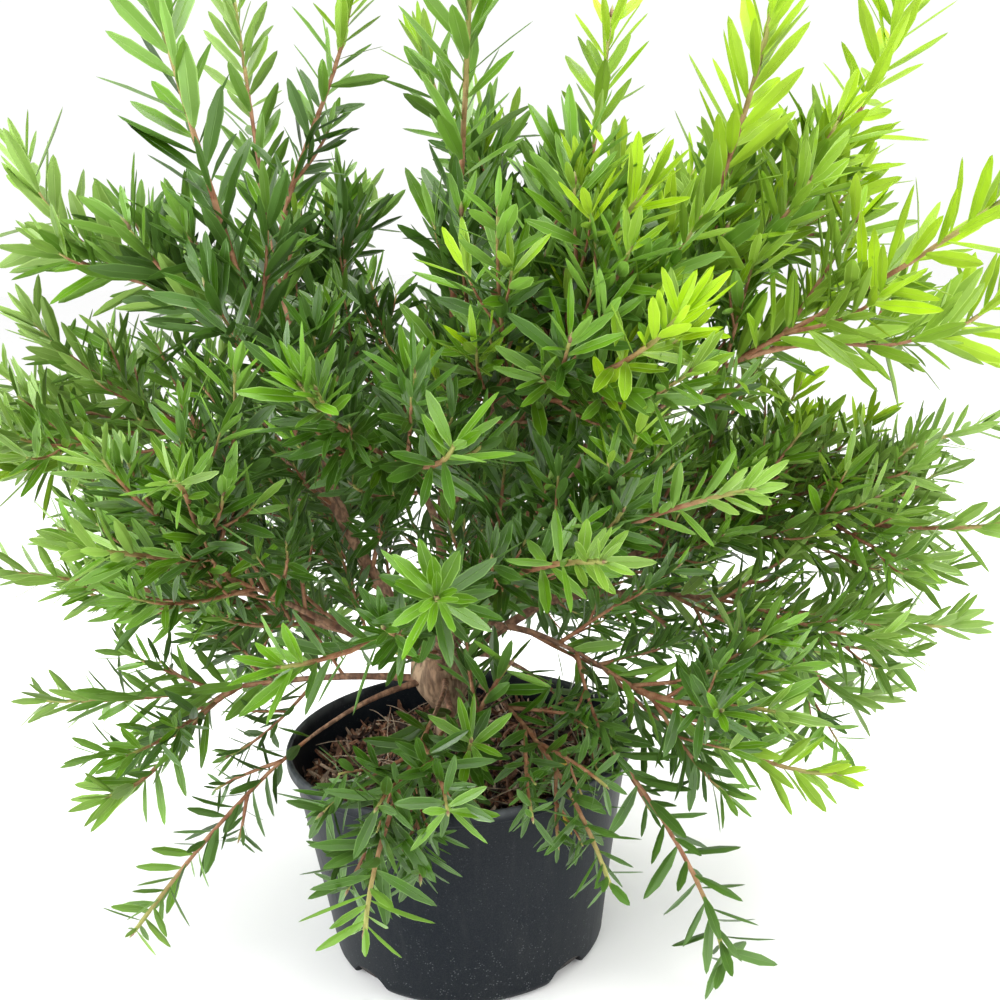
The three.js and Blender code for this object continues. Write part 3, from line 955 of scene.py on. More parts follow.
    def needle_surface(self, places: np.ndarray, seed: int) -> Surface:
        """Make thin dry needles that lie bent over the chips, from places to near points.

        Args:
            places: Where each starts.
            seed: The draw's seed.

        Returns:
            All the needles.
        """
        number = np.arange(len(places))
        azimuth = 360.0 * chance(seed + 1, number)
        along = heading(azimuth, lerp(-3.0, 8.0, chance(seed + 2, number)))
        start = places + UP * lerp(0.004, 0.008, chance(seed + 3, number))[:, None]
        tip = start + along * lerp(*self.needle_length, chance(seed, number))[:, None]
        most = self.pot.inside(self.level, self.needle_clear)
        tip[:, :2] *= np.minimum(1.0, most / np.hypot(tip[:, 0], tip[:, 1]))[:, None]
        tip[:, 2] = np.maximum(tip[:, 2], self.height(tip[:, 0], tip[:, 1]) + self.needle_clear)
        leaving = heading(azimuth + lerp(-25.0, 25.0, chance(seed + 4, number)), 12.0)
        lines = Shoots(start, leaving, tip, heading(azimuth, -14.0))
        made = lines.tubes(0.0, 0.0007, 0.0003, 9, 5, 0.2)
        made.values = {}
        return made

    def grit_surface(self, places: np.ndarray, seed: int) -> Surface:
        """Make small pale lumps: a ring of five between two end points, of uneven radius.

        Args:
            places: Where each lies.
            seed: The draw's seed.

        Returns:
            All the lumps.
        """
        number = np.arange(len(places))
        size = lerp(*self.grit_size, chance(seed, number) ** 2)[:, None]
        centre = places + UP * lerp(0.0015, 0.004, chance(seed + 4, number))[:, None]
        turn = even_turn(5)
        uneven = 0.7 + 0.5 * chance(seed + 3, number[:, None] * 5 + np.arange(5))
        ring = grid(np.cos(turn) * uneven, np.sin(turn) * uneven, 0.2 * (uneven - 1.0))
        ring = centre[:, None] + ring * size[:, None]
        return Surface.tubes(centre - UP * 0.8 * size, ring[:, None], centre + UP * 0.9 * size)

    def build(self, bed: ChipFinish, barks: list[ChipFinish], grit: ChipFinish, dry: ChipFinish) -> None:
        """Make the bed, the chips in each brown, the grit and the dry needles.

        Args:
            bed: The finish of the bed, dark brown made near black as painted shade in the gaps between the
                chips.
            barks: The finish of the chips in each brown.
            grit: The finish of the grit.
            dry: The finish of the needles.
        """
        piece = self.bed().made("mulch_bed", bed.material(), "bark_mulch")
        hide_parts("mulch")
        places = self.scattered(self.chips, self.seed, 0.005)
        limits = np.cumsum([0.0, *self.shares])
        drawn = chance(self.seed + 20, np.arange(len(places)))
        for number, bark in enumerate(barks):
            chosen = places[(drawn >= limits[number]) & (drawn < limits[number + 1])]
            chips = self.chip_surface(chosen, self.seed + 30 * (number + 1))
            creased(chips.made(bark.name, bark.material(), "bark_mulch"), self.chip_crease)
        white = self.grit_surface(self.scattered(self.grit, self.seed + 200, 0.006), self.seed + 210)
        white.made(grit.name, grit.material(), "bark_mulch")
        strewn = self.needle_surface(self.scattered(self.needles, self.seed + 300, 0.02), self.seed + 310)
        strewn.made(dry.name, dry.material(), "bark_mulch")


# ---- Growing lines ----


class Shoots:
    """Many growing lines, each a cubic Bezier curve from a start and heading to a tip and heading.

    place(t) = (1-t)^3 a + 3(1-t)^2 t b + 3(1-t) t^2 c + t^3 d, where b and c stand a handle's
    length from either end along the headings there.
    """

    HANDLE = 0.36

    def __init__(self, start: np.ndarray, leaving: np.ndarray, tip: np.ndarray, ending: np.ndarray) -> None:
        """Set up the lines.

        Args:
            start: Where each starts, of shape (n, 3).
            leaving: Its heading there.
            tip: Where it ends.
            ending: Its heading there.
        """
        chord = tip - start
        reach = np.linalg.norm(chord, axis=-1, keepdims=True)
        handle = reach * self.HANDLE
        self.points = np.stack([start, start + leaving * handle, tip - ending * handle, tip], axis=1)
        across = np.cross(leaving, chord)
        straight = np.linalg.norm(across, axis=-1, keepdims=True) < 1e-3 * reach
        across = np.where(straight, np.cross(leaving, UP), across)
        upright = np.linalg.norm(across, axis=-1, keepdims=True) < 1e-6
        self.across = unit(np.where(upright, RIGHT, across))
        self.length = reach[:, 0]

    def __len__(self) -> int:
        """Count the lines."""
        return len(self.points)

    @staticmethod
    def together(lines: list["Shoots"]) -> "Shoots":
        """Put sets of lines into one.

        Args:
            lines: The sets.

        Returns:
            One set with all their lines, in order.
        """
        made = Shoots.__new__(Shoots)
        for name in ("points", "across", "length"):
            setattr(made, name, np.concatenate([getattr(line, name) for line in lines]))
        return made

    def frames(self, rows: np.ndarray, share: np.ndarray) -> tuple[np.ndarray, ...]:
        """Find places on the lines, with three directions at right angles there.

        Args:
            rows: Which line each place is on.
            share: How far along it is, from 0 to 1.

        Returns:
            The places, and the directions along, to the side and over.
        """
        a, b, c, d = np.moveaxis(self.points[rows], -2, 0)
        t = share[..., None]
        u = 1.0 - t
        place = u * u * u * a + 3.0 * u * u * t * b + 3.0 * u * t * t * c + t * t * t * d
        along = unit(u * u * (b - a) + 2.0 * u * t * (c - b) + t * t * (d - c))
        across = self.across[rows]
        side = unit(across - along * np.sum(across * along, axis=-1, keepdims=True))
        return place, along, side, np.cross(along, side)

    def stations(self, share: np.ndarray) -> tuple[np.ndarray, ...]:
        """Find frames at shares of every line, which are the same for all or a row for each.

        Args:
            share: The shares, of shape (k,) or (n, k).

        Returns:
            What frames gives, of shape (n, k, 3).
        """
        share = np.broadcast_to(share, (len(self), share.shape[-1]))
        return self.frames(np.broadcast_to(np.arange(len(self))[:, None], share.shape), share)

    def tubes(
        self, first: float, thick: Number, thin: float, rings: int, sides: int, knobs: float
    ) -> Surface:
        """Make a closed tapering tube on each line, rounded off at its far end.

        Args:
            first: The share of the line where each tube starts.
            thick: The radius there, or one for each line.
            thin: The radius at the tip.
            rings: The number of rings along a tube.
            sides: The number of sides round it.
            knobs: How far leaf scars stand out, as a share of the radius.

        Returns:
            The tubes, with a youth value that is each vertex's share of the line.
        """
        part, turn, rows = np.linspace(0.0, 1.0, rings), even_turn(sides), np.arange(len(self))
        share = np.broadcast_to(lerp(first, 1.0, part), (len(self), rings))
        place, along, side, over = self.stations(share)
        thick = np.broadcast_to(thick, len(self))[:, None]
        radius = lerp(thick, thin, part**0.6)[..., None]
        scars = chance(rows[:, None, None] * 7.0 + 1.0, part[:, None] * 91.0 + turn * 3.0) - 0.4
        outward = between(side[:, :, None], over[:, :, None], turn)
        ring = place[:, :, None] + (radius * (1.0 + knobs * scars))[..., None] * outward
        start = place[:, 0] - along[:, 0] * radius[:, 0] * 0.2
        made = Surface.tubes(start, ring, place[:, -1] + along[:, -1] * radius[:, -1] * 0.9)
        youth = np.concatenate([share[:, :1], np.repeat(share, sides, axis=1), share[:, -1:]], axis=1)
        made.values["youth"] = youth.ravel()
        return made


@dataclass(frozen=True)
class Habit:
    """How a kind of limb grows.

    rise and end are its headings at the burl and at its tip, in degrees above the horizon. lift is
    how far above the fork it starts. leaf scales its leaves, which start at the share leafy of the
    limb. bushy scales how many side shoots it bears, side how long they grow, and rising how far
    they turn upwards.
    """

    rise: float
    end: float
    radius: float
    lift: float
    leaf: float
    leafy: float
    bushy: float
    side: float
    rising: float


class Kind(Enum):
    """The kinds of limbs."""

    UPRIGHT = Habit(54.0, 78.0, 0.0049, 0.006, leaf=1.26, leafy=0.44, bushy=0.76, side=0.85, rising=2.0)
    HIGH = Habit(52.0, 38.0, 0.0042, 0.0, leaf=0.94, leafy=0.44, bushy=1.0, side=1.0, rising=2.6)
    MIDDLE = Habit(34.0, 14.0, 0.0042, -0.002, leaf=0.84, leafy=0.42, bushy=1.0, side=1.0, rising=2.0)
    LOW = Habit(10.0, 4.0, 0.0036, -0.012, leaf=0.92, leafy=0.30, bushy=0.84, side=0.9, rising=1.2)
    DROOPING = Habit(30.0, -58.0, 0.003, -0.008, leaf=0.84, leafy=0.40, bushy=1.2, side=0.7, rising=-0.6)


@dataclass(frozen=True)
class Limb:
    """One limb: its kind, its tips, and the limb that it grows from with the share along it.

    A tip is an azimuth from +X in degrees, a reach from the pot's axis and a height. rise and end
    take the place of its kind's, and turn is how far it leaves the burl aside of its tip. leaf,
    bushy and rising multiply what its kind has. Its fresh share scales its shoots' new growth and
    makes all its leaves lighter or darker, as painted light and shade.
    """

    kind: Kind
    tips: tuple[Place, ...]
    parent: tuple[str, float] | None = None
    rise: float | None = None
    end: float | None = None
    turn: float = 0.0
    leaf: float = 1.0
    bushy: float = 1.0
    rising: float = 1.0
    fresh: float = 1.0


LIMBS = {
    "left_upright": Limb(
        Kind.UPRIGHT, ((-161, 0.187, 0.755), (178, 0.300, 0.645)), bushy=0.9, fresh=0.55
    ),
    "centre_upright": Limb(
        Kind.UPRIGHT, ((-65, 0.090, 0.745), (-55, 0.170, 0.620)), rise=84, bushy=0.6, fresh=0.6
    ),
    "right_upright": Limb(Kind.UPRIGHT, ((-14, 0.252, 0.737), (8, 0.365, 0.730)), bushy=1.15),
    "back_upright": Limb(Kind.UPRIGHT, ((50, 0.245, 0.755), (92, 0.190, 0.735)), bushy=1.3),
    "left_middle": Limb(Kind.MIDDLE, ((-177, 0.355, 0.340), (157, 0.355, 0.375))),
    "left_low": Limb(Kind.LOW, ((171, 0.365, 0.200), (-174, 0.285, 0.150)), bushy=0.65, fresh=0.8),
    "front_centre": Limb(
        Kind.MIDDLE, ((-89, 0.300, 0.390), (-113, 0.248, 0.328)), rise=30, leaf=1.16, bushy=0.35, fresh=0.7
    ),
    "front_right": Limb(
        Kind.MIDDLE, ((-70, 0.288, 0.398), (-44, 0.275, 0.417)), rise=50, bushy=0.85, rising=1.5, fresh=0.9
    ),
    "right_middle": Limb(Kind.MIDDLE, ((8, 0.455, 0.405), (-4, 0.435, 0.345)), bushy=1.4),
    "front_drooping": Limb(
        Kind.DROOPING, ((-105, 0.228, 0.140),), rise=16, turn=24, leaf=1.25, bushy=0.9, fresh=0.7
    ),
    "front_low": Limb(
        Kind.LOW,
        ((-84, 0.130, 0.228), (-58, 0.082, 0.262)),
        rise=-2,
        end=50,
        bushy=0.55,
        rising=-0.7,
        fresh=1.1,
    ),
    "left_drooping": Limb(
        Kind.DROOPING, ((-156, 0.272, 0.078),), rise=6, end=-44, leaf=0.85, bushy=0.2
    ),
    "rim_drooping": Limb(
        Kind.DROOPING, ((-58, 0.200, 0.135),), rise=24, leaf=0.95, bushy=0.8, fresh=0.0
    ),
    "right_drooping": Limb(
        Kind.DROOPING, ((-33, 0.232, 0.040),), rise=58, end=-80, leaf=1.1, bushy=0.2, fresh=0.1
    ),
    "back_left_middle": Limb(Kind.MIDDLE, ((130, 0.350, 0.400), (112, 0.345, 0.320))),
    "back_right_middle": Limb(Kind.MIDDLE, ((78, 0.350, 0.420), (48, 0.375, 0.370))),
    "back_left_upright": Limb(
        Kind.UPRIGHT,
        ((137, 0.220, 0.780), (118, 0.125, 0.770)),
        ("left_upright", 0.24),
        leaf=0.8,
        bushy=0.35,
        fresh=1.6,
    ),
    "left_high": Limb(
        Kind.HIGH, ((168, 0.378, 0.485), (-175, 0.345, 0.430)), ("left_upright", 0.3)
    ),
    "left_front": Limb(
        Kind.MIDDLE, ((-141, 0.292, 0.395), (-125, 0.268, 0.445)), ("left_middle", 0.22)
    ),
    "front_high": Limb(
        Kind.HIGH,
        ((-107, 0.240, 0.500), (-86, 0.238, 0.462)),
        ("centre_upright", 0.2),
        bushy=0.8,
        fresh=0.8,
    ),
    "front_right_high": Limb(
        Kind.HIGH,
        ((-58, 0.282, 0.532), (-50, 0.215, 0.600)),
        ("centre_upright", 0.3),
        bushy=1.4,
        fresh=1.4,
    ),
    "right_high": Limb(
        Kind.HIGH,
        ((-19, 0.400, 0.590), (2, 0.435, 0.512)),
        ("right_upright", 0.26),
        leaf=1.25,
        bushy=0.55,
    ),
    "right_low": Limb(
        Kind.LOW, ((-4, 0.392, 0.262), (10, 0.368, 0.168)), ("right_middle", 0.2)
    ),
    "right_front_low": Limb(
        Kind.LOW, ((-18, 0.300, 0.172), (-34, 0.272, 0.250)), ("front_right", 0.2)
    ),
    "back_left_high": Limb(
        Kind.HIGH, ((138, 0.322, 0.565), (112, 0.300, 0.610)), ("back_upright", 0.24)
    ),
    "back_right_high": Limb(
        Kind.HIGH, ((66, 0.325, 0.600), (34, 0.365, 0.560)), ("back_upright", 0.32)
    ),
    "back_left_low": Limb(
        Kind.LOW, ((140, 0.330, 0.215), (116, 0.320, 0.185)), ("back_left_middle", 0.2), bushy=0.8
    ),
    "back_right_low": Limb(
        Kind.LOW, ((72, 0.325, 0.190), (38, 0.350, 0.225)), ("back_right_middle", 0.2)
    ),
}
FOLIAGE_NODES = [f"foliage_{name}" for name in LIMBS]
BOUGH_NODES = [f"bough_{name}" for name in LIMBS]


@dataclass
class Trunk:
    """The short trunk, leaning from its flared foot to the knobbly burl that the boughs leave.

    foot and fork are where its axis meets the mulch and the burl, and grain is the bark's depth.
    """

    foot: Range = (-0.008, 0.030)
    fork: Range = (-0.014, 0.034)
    foot_height: float = 0.1583
    fork_height: float = 0.222
    foot_radius: float = 0.020
    waist_radius: float = 0.0125
    burl_radius: float = 0.025
    grain: float = 0.0016
    rings: int = 90
    sides: int = 72

    def build(self, finish: BarkFinish) -> bpy.types.Object:
        """Make the trunk: a turned profile with root ridges, knobs and fissured bark.

        At a share s of the rise and an angle a, the profile's radius is multiplied by
        1 + 0.09 sin(3a + 4s) sin(2a + 1) for the knobs and by 1 + 0.1 exp(-s / 0.16) sin(5a + 0.7)
        for the roots. Lumps and the bark's grain are added.

        Args:
            finish: The bark.

        Returns:
            The piece that stands for the trunk's node.
        """
        rise = self.fork_height - self.foot_height
        waist, burl = self.waist_radius, self.burl_radius
        profile = [(0.0, self.foot_radius), (0.1, waist * 1.22), (0.3, waist), (0.5, waist * 1.06)]
        profile += [(0.78, burl * 0.88), (1.0, burl), (1.2, burl * 0.86), (1.34, burl * 0.45), (1.38, 0.0)]
        share = np.linspace(0.0, 1.36, self.rings)
        fine = np.interp(share, *np.array(profile).T)
        kernel = np.array([1.0, 2.0, 3.0, 2.0, 1.0]) / 9.0
        eased = np.convolve(np.pad(fine, 2, mode="edge"), kernel, mode="valid")
        radius = np.where(share < 1.3, eased, fine)
        s, a = share[:, None], even_turn(self.sides)
        knob = 1.0 + 0.09 * np.sin(3.0 * a + 4.0 * s) * np.sin(2.0 * a + 1.0)
        roots = 1.0 + 0.10 * np.exp(-s / 0.16) * np.sin(5.0 * a + 0.7)
        around = grid(np.cos(a), np.sin(a), s * rise / 0.02)
        lumps = self.grain * noise(around, 0.7, 2) * smoothstep(share, 0.4, 0.9)[:, None]
        fissure = ridges(around * (1.0, 1.0, 0.35), 0.16, 7) ** 2
        relief = 0.65 * fissure + 0.35 * ridges(around * (1.0, 1.0, 0.2), 0.07, 8)
        out = radius[:, None] * knob * roots + lumps + self.grain * (relief - 0.75)
        x = out * np.cos(a) + lerp(self.foot[0], self.fork[0], s)
        y = out * np.sin(a) + lerp(self.foot[1], self.fork[1], s)
        ring = grid(x, y, self.foot_height + rise * s)
        ends = np.array([[*self.foot, self.foot_height], [*self.fork, self.foot_height + rise * 1.38]])
        made = Surface.tubes(ends[:1], ring[None], ends[1:])
        made.values["relief"] = np.concatenate([[0.5], relief.ravel(), [0.5]])
        piece = made.made("trunk_bark", finish.material(), "trunk_bark")
        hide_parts("trunk")
        return piece


@dataclass
class Growth:
    """Shoots of one order, with what each needs to branch and to bear leaves.

    mass is the number of the limb whose foliage a shoot is in. leafy is the share of each line
    where its leaves start. The rest is as in Habit and Limb.
    """

    shoots: Shoots
    seed: np.ndarray
    leafy: np.ndarray
    mass: np.ndarray
    leaf: np.ndarray
    bushy: np.ndarray
    side: np.ndarray
    rising: np.ndarray
    fresh: np.ndarray

    def bearing(self, shoots: Shoots, rows: np.ndarray, seed: np.ndarray, leafy: float) -> "Growth":
        """Make the growth of shoots that each take after one of these.

        Args:
            shoots: The new shoots' lines.
            rows: Which of these each of them takes after.
            seed: A seed for each.
            leafy: The share of their lines where the leaves start.

        Returns:
            The new shoots.
        """
        taken = ("mass", "leaf", "bushy", "side", "rising", "fresh")
        kept = {name: getattr(self, name)[rows] for name in taken}
        return Growth(shoots, seed, np.full(len(rows), leafy), **kept)


@dataclass(frozen=True)
class Branching:
    """The rule by which a shoot bears side shoots, spaced along it and turned by the golden angle.

    start and stop are shares of the bearing line. Angles are in degrees. wander is how far the
    spread varies and sizes how far the length does. leaf is the size of the leaves as a share of
    the bearing line's. hanging scales how many side shoots a line bears whose side shoots hang.
    Those start where its leaves do. A side shoot that doesn't fit is cut back by cut, up to cuts
    times.
    """

    start: float
    stop: float
    longest: float
    leafy: float
    apart: float = 0.020
    spread: float = 34.0
    wander: float = 14.0
    shortest: float = 0.030
    sizes: Range = (0.7, 1.15)
    shortening: float = 0.50
    lift: float = 0.12
    arch: float = 0.30
    ahead: float = 0.35
    leaf: float = 0.95
    hanging: float = 1.0
    cut: float = 0.8
    cuts: int = 5
    jitter: float = 0.05


@dataclass
class Crown:
    """All limbs, leaders, twigs and the space that each mass keeps.

    A limb is bough up to bough_share and leader from there on, with bough_end the radius where one
    becomes the other. A limb that leaves another is drawn along it by parent_pull, and its radius
    is at most of_parent of the other's there. A mass's second leader forks off fork_after past the
    bough's end. A side shoot is tested at the shares tested, and may reach overlap further into
    another mass's space. The clearances are from limbs, the pot, the ground and the burl.
    """

    trunk: Trunk
    pot: Pot
    mulch: Mulch
    bough_share: float = 0.4
    bough_end: float = 0.0034
    parent_pull: float = 0.35
    of_parent: float = 0.82
    fork_after: float = 0.1
    fork_leafy: float = 0.2
    stations: int = 26
    wood_stations: int = 60
    tested: tuple[float, ...] = (0.3, 0.55, 0.8, 1.0)
    overlap: float = 0.022
    limb_clear: float = 0.0026
    pot_clear: float = 0.004
    ground_clear: float = 0.014
    fork_clear: float = 0.009

    def __post_init__(self) -> None:
        """Grow the limbs and their leaders, and mark out the space of each mass."""
        self.lines: dict[str, Shoots] = {}
        self.radii: dict[str, float] = {}
        for name, limb in LIMBS.items():
            self.lines[name], self.radii[name] = self.grown(limb)
        self.foot_radius = np.array(list(self.radii.values()))
        self.end_radius = np.minimum(self.bough_end, (self.foot_radius - 0.002) * 1.4)
        number = np.arange(len(LIMBS))
        both = [(limb.kind.value, limb) for limb in LIMBS.values()]
        self.limbs = Growth(
            shoots=Shoots.together(list(self.lines.values())),
            seed=(number + 1) * 10.0,
            leafy=np.array([kind.leafy for kind, _ in both]),
            mass=number,
            leaf=np.array([kind.leaf * limb.leaf for kind, limb in both]),
            bushy=np.array([kind.bushy * limb.bushy for kind, limb in both]),
            side=np.array([kind.side * lerp(0.45, 1.0, min(1.0, limb.bushy)) for kind, limb in both]),
            rising=np.array([kind.rising * limb.rising for kind, limb in both]),
            fresh=np.array([limb.fresh for _, limb in both]),
        )
        forked = {name: limb for name, limb in LIMBS.items() if len(limb.tips) > 1}
        owner = np.array([list(LIMBS).index(name) for name in forked])
        forks = Shoots.together([self.forked(limb, self.lines[name]) for name, limb in forked.items()])
        self.forks = self.limbs.bearing(forks, owner, (owner + 1) * 10.0 + 1.0, self.fork_leafy)
        part = np.linspace(0.0, 1.0, self.stations + 1)
        leaders = ((self.limbs, self.bough_share), (self.forks, 0.0))
        spots = [growth.shoots.stations(lerp(start, 1.0, part))[0] for growth, start in leaders]
        self.spots = np.concatenate(spots).reshape(-1, 3)
        self.spot_mass = np.repeat(np.concatenate([number, owner]), len(part))
        share = np.linspace(0.0, self.bough_share, self.wood_stations)
        self.wood = self.limbs.shoots.stations(share)[0].reshape(-1, 3)
        thick = lerp(self.foot_radius[:, None], self.bough_end, share / self.bough_share)
        self.wood_radius = thick.ravel()

    @staticmethod
    def tip(place: Place) -> np.ndarray:
        """Return the place of a tip that is given as azimuth, reach and height."""
        return heading(place[0], 0.0) * place[1] + UP * place[2]

    def grown(self, limb: Limb) -> tuple[Shoots, float]:
        """Grow a limb's line from the burl, or from the limb that it leaves, to its first tip.

        Args:
            limb: The limb.

        Returns:
            Its line and its radius at the start.
        """
        habit, radius = limb.kind.value, limb.kind.value.radius
        tip = self.tip(limb.tips[0])
        start = np.array([*self.trunk.fork, self.trunk.fork_height + habit.lift])
        pull = np.zeros(3)
        if limb.parent:
            name, share = limb.parent
            place, along, _, _ = self.lines[name].frames(np.array([0]), np.array([share]))
            start, pull = place[0], along[0] * self.parent_pull
            own = lerp(self.radii[name], self.bough_end, share / self.bough_share)
            radius = min(radius, own * self.of_parent)
        azimuth = float(azimuth_of(tip - start))
        leaving = heading(azimuth + limb.turn, habit.rise if limb.rise is None else limb.rise)
        ending = heading(azimuth, habit.end if limb.end is None else limb.end)
        return Shoots(start[None], unit(leaving + pull)[None], tip[None], ending[None]), radius

    def forked(self, limb: Limb, line: Shoots) -> Shoots:
        """Grow the second leader of a mass, which forks off the limb to a tip of its own.

        Args:
            limb: The limb.
            line: Its line.

        Returns:
            The leader's line.
        """
        share = np.array([self.bough_share + self.fork_after])
        place, along, _, _ = line.frames(np.array([0]), share)
        tip = self.tip(limb.tips[1])[None]
        outward = unit(tip - place)
        end = limb.kind.value.end if limb.end is None else limb.end
        return Shoots(place, unit(along + outward), tip, heading(azimuth_of(outward), end))

    def clear(self, points: np.ndarray, margin: float = 1.0) -> np.ndarray:
        """Tell which places are clear of limbs, trunk, pot, mulch and ground.

        Args:
            points: Places, of shape (..., 3).
            margin: What the clearances are multiplied by.

        Returns:
            True for each place that is clear.
        """
        flat = points.reshape(-1, 3)
        x, y, z = flat.T
        away = np.hypot(x - self.trunk.fork[0], y - self.trunk.fork[1])
        reach = self.trunk.burl_radius + self.fork_clear * margin
        free = (z > self.ground_clear) & ((away > reach) | (z > self.trunk.fork_height + reach))
        out, gap = np.hypot(x, y), self.pot_clear * margin
        outside = (z > self.pot.height + gap) | (out > self.pot.rim_radius + gap)
        wall = self.pot.rim_radius - self.pot.lip_proud - self.pot.wall - gap * 2.0
        free &= outside | ((out < wall) & (z > self.mulch.height(x, y) + gap))
        near = self.wood_radius + self.limb_clear * margin
        for chunk in np.array_split(np.arange(len(flat)), max(1, len(flat) // 4000)):
            gaps = np.linalg.norm(flat[chunk, None, :] - self.wood[None, :, :], axis=-1) - near[None, :]
            free[chunk] &= gaps.min(axis=1) > 0.0
        return free.reshape(points.shape[:-1])

    def own(self, points: np.ndarray, mass: np.ndarray) -> np.ndarray:
        """Tell which places are nearer to their own mass's leaders than to another's, or almost.

        Args:
            points: Places, of shape (n, k, 3).
            mass: The mass that each row of places belongs to.

        Returns:
            True for each place.
        """
        held = np.empty(points.shape[:-1], bool)
        for chunk in np.array_split(np.arange(len(points)), max(1, len(points) // 400)):
            gaps = np.linalg.norm(points[chunk, :, None, :] - self.spots, axis=-1)
            mine = self.spot_mass[None, None, :] == mass[chunk, None, None]
            near = np.where(mine, gaps, np.inf).min(axis=-1)
            other = np.where(mine, np.inf, gaps).min(axis=-1)
            held[chunk] = near < other + self.overlap
        return held

    def branched(self, parents: Growth, rule: Branching, order: int) -> Growth:
        """Grow side shoots, each cut back until it stays in its mass's space and touches nothing.

        Args:
            parents: The shoots that bear them.
            rule: How they are spaced, turned and sized.
            order: Tells the draws of one order of shoots from another.

        Returns:
            The side shoots that found room.
        """
        shoots, hangs = parents.shoots, parents.rising < 0.0
        counts = shoots.length * (rule.stop - rule.start) * parents.bushy / rule.apart
        counts = np.round(counts * np.where(hangs, rule.hanging, 1.0)).astype(int)
        rows, index = counted(counts)
        seed = parents.seed[rows] * 7.0 + index + 1.0 + order * 1000.0
        part = (index + 0.5) / counts[rows]
        first = np.where(hangs, parents.leafy, rule.start)[rows]
        share = first + (rule.stop - rule.start) * part + rule.jitter * (chance(seed, 3) - 0.5)
        place, along, across, over = shoots.frames(rows, share)
        radial = between(across, over, GOLDEN_ANGLE * index + 2.0 * np.pi * chance(parents.seed[rows], 4))
        spread = np.radians(rule.spread + rule.wander * (chance(seed, 5) - 0.5))
        upward = UP * parents.rising[rows][:, None]
        outward = unit(between(along, radial, spread) + upward * rule.lift)
        ending = unit(outward + upward * rule.arch + along * rule.ahead)
        side = parents.side[rows]
        full = rule.longest * (1.0 - rule.shortening * part) * lerp(*rule.sizes, chance(seed, 6)) * side
        towards = unit(outward * 0.7 + ending * 0.3)
        length = np.zeros(len(rows))
        todo = np.ones(len(rows), bool)
        for step in range(rule.cuts):
            some = np.flatnonzero(todo)
            trial = full[some] * rule.cut**step
            tips = place[some] + towards[some] * trial[:, None]
            line = Shoots(place[some], outward[some], tips, ending[some])
            points = line.stations(np.array(self.tested))[0]
            mass = parents.mass[rows[some]]
            fits = self.own(points, mass).all(axis=1) & self.clear(points).all(axis=1)
            fits &= trial >= rule.shortest
            length[some[fits]] = trial[fits]
            todo[some[fits]] = False
        kept = length > 0.0
        tips = place + towards * length[:, None]
        lines = Shoots(place[kept], outward[kept], tips[kept], ending[kept])
        log.info("order %d: %d of %d side shoots", order, len(lines), len(rows))
        made = parents.bearing(lines, rows[kept], seed[kept], rule.leafy)
        made.leaf = made.leaf * rule.leaf * lerp(0.4, 1.0, side[kept])
        return made


# ---- Leaves ----


class Tint(Enum):
    """The greens of the leaves, from painted shade in the crown's heart to the newest growth, made lighter
    where light falls.
    """

    # SHADE is painted shade: the darker copy of the green for leaves deep in the crown.
    SHADE = 0
    MATURE = 1
    # FRESH and FLUSH are new growth, dealt more where light falls, as painted light.
    FRESH = 2
    FLUSH = 3
    # PALE is a paler, bluer green: a painted sky reflection on new growth away from the lit top right.
    PALE = 4
    YELLOW = 5


